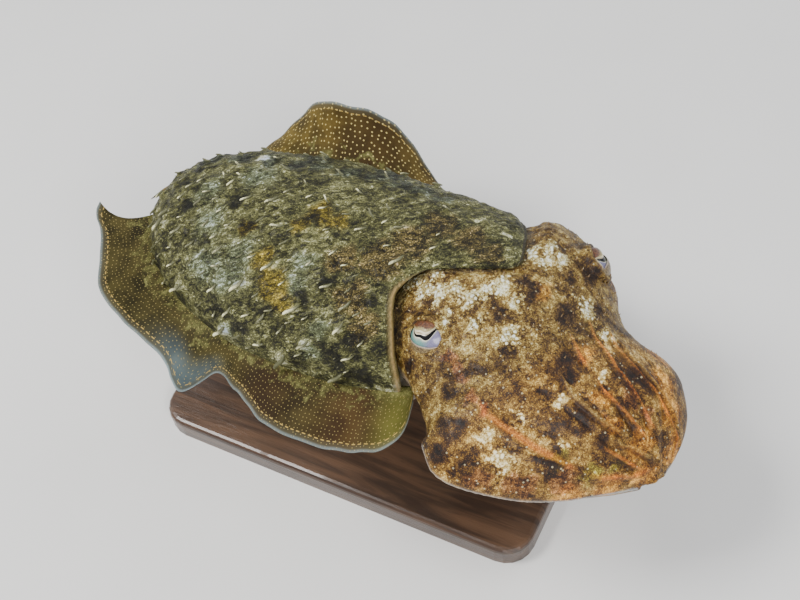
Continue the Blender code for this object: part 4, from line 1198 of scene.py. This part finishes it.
def mantle_finish():
    paint = Paint("mantle skin")
    spot = paint.place(BODY)
    along = paint.place(BODY @ Matrix.Rotation(math.radians(35), 4, "Z"), (1.0, 2.2, 1.0))
    blotch = paint.noise(spot, 13, 3, 0.6, 0.4)
    patch = paint.noise(along, 4.2, 4, 0.66, 0.7)
    stroke = paint.noise(along, 1.5, 4, 0.70, 0.9)
    grain = paint.noise(spot, 0.55, 2, 0.6)
    fine = paint.dots(spot, 0.75, 0.40)
    brown = paint.mask("brown")

    def shown(name):
        return (paint.mask(name) + (patch - 0.5) * 1.2 + (grain - 0.5) * 0.5).over(0.2, 0.85)

    level = 0.44 + (blotch - 0.5) * 0.55 + (patch - 0.5) * 0.95 + (stroke - 0.5) * 1.35
    level = level + (grain - 0.5) * 0.7 + (fine - 0.3) * (0.10 + 0.16 * brown)
    level = level + paint.mask("grey") * 0.10 + shown("pale") * 0.42 - shown("dark") * 0.26
    # lighter on the mounds' crests: partly their cream colour, partly painted highlight
    level = level + paint.mask("pale_lit_crest") * 0.26
    level = level - paint.mask("slate") * 0.10 - brown * 0.07 - paint.mask("tail") * 0.05
    line = paint.noise(along, 1.2, 2, 0.5, 1.5).over(0.60, 0.68)
    colour = paint.ramp(level + line * 0.22, MANTLE_TONES)
    colour = paint.tint(1.0 - brown, colour, (0.98, 1.0, 1.12))
    colour = paint.tint(shown("brown") * 0.8, colour, (1.22, 0.90, 0.82))
    colour = paint.tint(paint.mask("grey") * 0.8, colour, (0.84, 1.02, 1.55))
    colour = paint.tint(shown("slate") * 0.8, colour, (0.78, 0.92, 1.6))
    soft = (paint.mask("ochre") + (blotch - 0.5) * 0.8 + (grain - 0.5) * 0.4).over(0.1, 0.9)
    colour = paint.tint(soft * 0.85, colour, (1.50, 1.12, 0.30))
    margin = paint.mask("margin")
    inside = paint.mask("inside")
    band = paint.mix(grain, (0.045, 0.034, 0.010), (0.150, 0.112, 0.034))
    colour = paint.mix(margin * (1 - inside) * 0.85, colour, band)
    colour = paint.mix(paint.mask("hem") * (1 - inside) * 0.7, colour, (0.36, 0.23, 0.08))
    # painted shade along the mantle's front edge
    colour = paint.mix(paint.mask("front_edge_shade") * 0.6, colour, (0.040, 0.024, 0.020))
    # painted shade inside the mantle's opening
    colour = paint.mix(inside, colour, (0.040, 0.034, 0.024))
    under = 1 - paint.mask("above")
    colour = paint.mix(under, colour, paint.mix(grain, (0.38, 0.34, 0.27), (0.56, 0.52, 0.44)))
    height = stroke * 1.9 + grain * 0.3 + line * 0.4 + patch * 2.6
    return paint.finish(colour, 0.42 + 0.22 * grain, height * (1 - margin * 0.8), 0.9, 0.03, 0.0, 0.28)


def papilla_finish(name, root, tip):
    paint = Paint(name)
    spot = paint.place()
    grain = paint.noise(spot, 0.8, 3, 0.6)
    up = paint.mask("tip")
    share = (up * 0.9 + (grain - 0.5) * 0.9).over(0.15, 0.95)
    colour = paint.mix(share * share, root, tip)
    return paint.finish(colour, 0.45 + 0.2 * grain, grain, 0.3, 0.1)


def head_finish():
    paint = Paint("head skin")
    spot = paint.place(HEAD)
    blotch = paint.noise(spot, 10, 3, 0.6, 0.4)
    patch = paint.noise(spot, 3.4, 4, 0.68, 0.5)
    crust = paint.noise(spot, 1.3, 3, 0.68)
    grain = paint.noise(spot, 0.5, 2, 0.6)
    fine = paint.dots(spot, 0.7, 0.42)
    arms = paint.mask("arms")
    groove_and_shade = paint.mask("groove_and_shade")
    round_arm = paint.add("ShaderNodeCombineXYZ", {}, {
        0: paint.mask("share") * (paint.mask("left") * 92 - 46), 1: paint.mask("length") * 3.2})
    streak = paint.noise(round_arm, 1.0, 3, 0.6, 0.15)

    def shown(name):
        return (paint.mask(name) + (patch - 0.5) * 1.0 + (crust - 0.5) * 0.7).over(0.2, 0.85)

    pimple = paint.dots(spot, 1.9, 0.46)
    level = 0.44 + (blotch - 0.5) * 1.0 + (patch - 0.5) * 1.0 + (crust - 0.5) * 0.6
    level = level + (grain - 0.5) * 0.85 + (fine - 0.35) * 0.12
    level = level + (streak - 0.5) * arms * 0.35
    level = level + shown("pale") * (0.13 + 0.20 * crust + 0.32 * pimple) - shown("dark") * 0.22
    level = level + paint.mask("halo") * (0.04 + 0.20 * pimple)
    level = level + paint.mask("ochre") * 0.12 - paint.mask("purple") * 0.08
    # painted shade: darker in the grooves between the arms
    level = level - groove_and_shade * 0.10
    # painted shadow: darker in the strip beside each raised line
    level = level + (0.22 + (crust - 0.5) * 0.3 - level) * (paint.mask("hollow") * 0.65)
    ridge = (paint.mask("orange_line") + paint.mask("grey_line")).over(0.1, 0.85)
    level = level + (0.62 + (crust - 0.5) * 0.7 + (grain - 0.5) * 0.6 - level) * (ridge * 0.72)
    star = paint.dots(spot, 2.6, 0.21, 0.5)
    colour = paint.ramp(level, HEAD_TONES)
    colour = paint.tint(shown("pale") * 0.8, colour, (0.90, 1.0, 1.20))
    colour = paint.tint(arms * 0.6, colour, (1.10, 0.84, 0.50))
    for name, strong, tone in HEAD_TINTS:
        colour = paint.tint(shown(name) * strong, colour, tone)
    colour = paint.tint(paint.mask("orange_line").over(0.05, 0.85) * 0.9, colour, (1.40, 0.79, 0.44))
    colour = paint.tint(paint.mask("grey_line") * 0.8, colour, (0.80, 0.95, 1.60))
    colour = paint.mix(star * (0.15 + 0.6 * blotch), colour, (0.80, 0.70, 0.42))
    colour = paint.mix(paint.mask("shade") * 0.3, colour, (0.060, 0.070, 0.070))
    colour = paint.mix(paint.mask("rim") * 0.6, colour, (0.40, 0.46, 0.50))
    inner = 1 - paint.mask("outside")
    inside = paint.mix(grain, (0.26, 0.19, 0.13), (0.46, 0.37, 0.28))
    colour = paint.mix(inner * 0.7, colour, inside)
    height = crust * 0.8 + patch * 1.1 + fine * 0.12 + star * 0.35 + grain * 0.2
    height = height + pimple * paint.mask("halo") * 0.6
    return paint.finish(colour, 0.38 + 0.22 * grain, height * (1 - arms * 0.5), 0.8, 0.03, 0.0, 0.28)


def fin_finish(side):
    """Olive membrane; the dots of the right fin are smaller and dimmer."""
    paint = Paint("fin %s" % ("left" if side > 0 else "right"))
    step, radius, bright = ((2.5, 0.19, 0.8) if side > 0 else (1.8, 0.15, 0.45))
    dark, light = FIN_TONES[side]
    spot = paint.place(BODY)
    edge = paint.mask("edge") * FIN_REACH
    along = paint.mask("along")
    grain = paint.noise(spot, 0.9, 3, 0.6)
    cloud = paint.noise(spot, 13, 3, 0.55)
    colour = paint.mix(cloud.over(0.35, 0.65), dark, light)
    colour = paint.mix((1 - paint.mask("across")).over(0.5, 1.0) * 0.6, colour, (0.018, 0.014, 0.007))
    for name, tint, strong in FIN_TINTS:
        colour = paint.mix(paint.mask(name) * (strong * (0.5 + cloud)), colour, tint)
    patch = paint.noise(spot, 5, 4, 0.65, 0.5)
    root = (1 - paint.mask("across") + (patch - 0.5) * 1.3).over(0.62, 0.9)
    stain = paint.ramp((patch * 0.7 + grain * 0.5 - 0.15).limit(), MANTLE_TONES)
    colour = paint.mix(root * 0.75, colour, stain)
    margin = 1 - edge.over(1.6, 4.2)
    colour = paint.mix(margin * 0.5, colour, (0.085, 0.076, 0.045))
    sheet = paint.add("ShaderNodeCombineXYZ", {}, {0: along * FIN_LENGTH, 1: edge})
    dot = paint.sheet_dots(sheet, step, radius)
    colour = paint.mix(dot * bright, colour, (0.60, 0.48, 0.18))
    line = 1 - abs(edge - 3.2).over(0.08, 0.32)
    dash = paint.add("ShaderNodeMath", {"operation": "SINE"}, {0: along * (FIN_LENGTH * 2.4)})
    colour = paint.mix(line * dash.over(-0.5, 0.2) * 0.8, colour, (0.52, 0.36, 0.10))
    pale = (1 - edge.over(0.0, 1.6)) * (0.45 + 0.5 * paint.mask("blue_tint"))
    colour = paint.mix(pale, colour, (0.28, 0.36, 0.38))
    return paint.finish(colour, 0.6 + 0.15 * grain, grain * 0.4 + dot * 0.5, 0.4, 0.0, 0.0, 0.12)


def eye_finish(side):
    """A silvery ball with a black, double-curved pupil."""
    paint = Paint("eye %s" % ("left" if side > 0 else "right"))
    spot = paint.place(eye_frame(side))
    x, y, _ = paint.axes(spot)
    grain = paint.noise(spot, 0.7, 3, 0.6)
    t = (x - PUPIL_SHIFT * side) / PUPIL_SPAN
    wave = paint.add("ShaderNodeMath", {"operation": "COSINE"}, {0: t * (2 * math.pi)})
    square = t * t
    line = (square * 0.4 + square * square * 0.6) * PUPIL_DEEP - t * square * (1.1 * side)
    line = line + wave * 0.35 + PUPIL_RAISE
    away = abs(y - line)
    half = (1 - abs(t)).over(-0.12, 0.35) * (0.66 - t * (0.5 * side)) * (1 + square * 1.3)
    pupil = 1 - (away - half).over(-0.12, 0.12)
    ring = 1 - (away - half).over(0.15, 0.55)
    teal = paint.mix(grain, (0.04, 0.13, 0.13), (0.22, 0.42, 0.36))
    violet = paint.mix(grain, (0.07, 0.07, 0.16), (0.30, 0.28, 0.40))
    iris = paint.mix((x * -side).over(-1.0, 4.0), teal, violet)
    colour = paint.mix((line - y + (grain - 0.5) * 3).over(0.5, 2.6), (0.44, 0.48, 0.37), iris)
    colour = paint.mix(y.over(-7.4, -5.2), (0.13, 0.12, 0.20), colour)
    colour = paint.mix((y - line).over(0.2, 0.9), colour, (0.62, 0.48, 0.26))
    colour = paint.mix(ring * 0.8, colour, (0.78, 0.74, 0.58))
    colour = paint.mix(pupil, colour, (0.002, 0.002, 0.002))
    return paint.finish(colour, 0.16, grain * 0.1, 0.2, 0.1, 0.0, 0.4)


def lid_finish(side):
    paint = Paint("lids %s" % ("left" if side > 0 else "right"))
    spot = paint.place(eye_frame(side))
    grain = paint.noise(spot, 0.7, 3, 0.6)
    inward = paint.mask("inward")
    upper = paint.mask("upper")
    colour = paint.mix(grain.over(0.3, 0.7), (0.036, 0.010, 0.003), (0.170, 0.058, 0.015))
    skin = paint.mix(grain.over(0.35, 0.65), (0.060, 0.034, 0.014), (0.260, 0.190, 0.080))
    colour = paint.mix(1 - upper * inward.over(0.0, 0.35), colour, skin)
    olive = paint.mix(grain, (0.17, 0.125, 0.036), (0.52, 0.44, 0.20))
    colour = paint.mix((inward + (grain - 0.5) * 0.3).over(0.60, 0.80) * upper, colour, olive)
    colour = paint.mix((1 - upper) * inward.over(0.86, 0.95) * 0.7, colour, (0.42, 0.34, 0.28))
    colour = paint.mix(inward.over(0.82, 0.93) * upper, colour, (0.80, 0.72, 0.50))
    return paint.finish(colour, 0.35, grain, 0.4, 0.2)


def pale_skin_finish(name, first, second):
    paint = Paint(name)
    spot = paint.place()
    grain = paint.noise(spot, 1.2, 3, 0.6)
    fleck = paint.dots(spot, 2.2, 0.2, 0.5)
    colour = paint.mix(grain, first, second)
    colour = paint.mix(fleck * 0.5, colour, tuple(0.35 * c for c in first))
    return paint.finish(colour, 0.4, grain, 0.4, 0.2)


def wood_finish():
    """Dark lacquered wood with its grain along the base."""
    paint = Paint("stand wood")
    spot = paint.place(None, (1.0, 14.0, 1.0))
    ring = paint.noise(spot, 7, 4, 0.6, 1.2)
    pore = paint.noise(spot, 0.8, 3, 0.7)
    colour = paint.mix(ring.over(0.35, 0.68), (0.030, 0.016, 0.010), (0.095, 0.050, 0.027))
    colour = paint.mix(pore.over(0.55, 0.72) * 0.5, colour, (0.018, 0.010, 0.007))
    return paint.finish(colour, 0.28 + 0.14 * pore, pore, 0.15, 0.35)


def steel_finish():
    paint = Paint("stand steel")
    spot = paint.place(None, (1.0, 1.0, 0.05))
    brush = paint.noise(spot, 0.5, 3, 0.7)
    colour = paint.mix(brush, (0.46, 0.47, 0.48), (0.60, 0.61, 0.62))
    return paint.finish(colour, 0.24 + 0.2 * brush, brush, 0.03, 0.0, 1.0)


def floor_finish():
    paint = Paint("floor")
    spot = paint.place()
    cloud = paint.noise(spot, 60, 2, 0.5)
    return paint.finish(paint.mix(cloud, (0.70, 0.70, 0.69), (0.74, 0.74, 0.73)), 0.7)


def wear(piece, material):
    piece.data.materials.clear()
    piece.data.materials.append(material)
    return piece


def add_piece(piece, material, slot, *nodes):
    """Dress a finished piece, and let it stand for its solids."""
    wear(piece, material)
    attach(piece, "root")
    if nodes:
        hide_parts(*nodes)


# Stage

def make_floor():
    deselect()
    bpy.ops.mesh.primitive_plane_add(size=8)
    floor = bpy.context.object
    floor.name = "floor"
    wear(floor, floor_finish())


def add_light(name, place, size, power, colour):
    data = bpy.data.lights.new(name, "AREA")
    data.size = size
    data.energy = power
    data.color = colour
    light = bpy.data.objects.new(name, data)
    light.location = place
    aim = Vector((0, 0, 0.09)) - Vector(place)
    light.rotation_euler = aim.to_track_quat("-Z", "Y").to_euler()
    bpy.context.scene.collection.objects.link(light)


def make_lights():
    add_light("key light", (-0.35, 0.65, 1.15), 0.5, 20.0, (1.0, 0.98, 0.95))
    add_light("front light", (-0.75, -0.75, 0.95), 0.6, 15.0, (1.0, 0.98, 0.96))
    add_light("fill light", (0.9, -0.4, 0.8), 1.0, 6.0, (0.94, 0.97, 1.0))
    world = bpy.data.worlds.new("room")
    world.use_nodes = True
    world.node_tree.nodes["Background"].inputs[0].default_value = (0.93, 0.95, 1.0, 1.0)
    world.node_tree.nodes["Background"].inputs[1].default_value = 0.5
    bpy.context.scene.world = world


def make_camera():
    turned, tilt, roll = (math.radians(a) for a in (CAMERA_TURN, CAMERA_TILT, CAMERA_ROLL))
    back = Vector((math.sin(turned) * math.cos(tilt), -math.cos(turned) * math.cos(tilt),
                   math.sin(tilt)))
    right = Vector((math.cos(turned), math.sin(turned), 0))
    up = back.cross(right)
    right, up = (right * math.cos(roll) + up * math.sin(roll),
                 up * math.cos(roll) - right * math.sin(roll))
    matrix = Matrix((right, up, back)).transposed().to_4x4()
    matrix.translation = (BODY_PLACE + back * CAMERA_REACH - right * CAMERA_SLIDE[0]
                          - up * CAMERA_SLIDE[1])
    data = bpy.data.cameras.new("camera")
    data.lens = LENS
    data.sensor_width = 36
    camera = bpy.data.objects.new("camera", data)
    camera.matrix_world = matrix
    bpy.context.scene.collection.objects.link(camera)
    bpy.context.scene.camera = camera


def dress_model():
    spots = papilla_layout()
    mantle = make_mantle_skin(spots)
    head = make_head_skin()
    add_piece(mantle, mantle_finish(), "mantle_skin", "mantle")
    add_piece(head, head_finish(), "head_skin", "head", *ARMS)
    mantle_surface = surface_of(mantle)
    add_piece(make_mantle_papillae(mantle_surface, spots, True),
              papilla_finish("mantle ridges", (0.090, 0.092, 0.040), (0.86, 0.84, 0.50)),
              "mantle_skin")
    add_piece(make_mantle_papillae(mantle_surface, spots, False),
              papilla_finish("mantle papillae", (0.060, 0.058, 0.024), (0.42, 0.42, 0.24)),
              "mantle_skin")
    head_surface = surface_of(head)
    add_piece(make_head_papillae(head_surface),
              papilla_finish("head papillae", (0.16, 0.090, 0.030), (0.68, 0.58, 0.34)), "head_skin")
    add_piece(make_suckers(head_surface),
              pale_skin_finish("suckers", (0.52, 0.46, 0.38), (0.68, 0.62, 0.54)), "arm_skin")
    add_piece(make_funnel(), pale_skin_finish("funnel", (0.40, 0.34, 0.28), (0.54, 0.48, 0.41)),
              "funnel_skin", "funnel")
    for side, name in ((1, "left"), (-1, "right")):
        add_piece(make_fin(side, "fin_" + name), fin_finish(side), "fin_membrane",
                  "fin_%s_front" % name, "fin_%s_rear" % name)
        add_piece(make_eye(side, "eyeball_" + name), eye_finish(side), "eye", "eye_" + name)
        add_piece(make_lids(side, "lids_" + name), lid_finish(side), "head_skin")
    wear(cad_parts["stand_base"], wood_finish())
    steel = steel_finish()
    for name in ("stand_rod_front", "stand_rod_rear"):
        wear(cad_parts[name], steel)


dress_model()
make_floor()
make_lights()
make_camera()
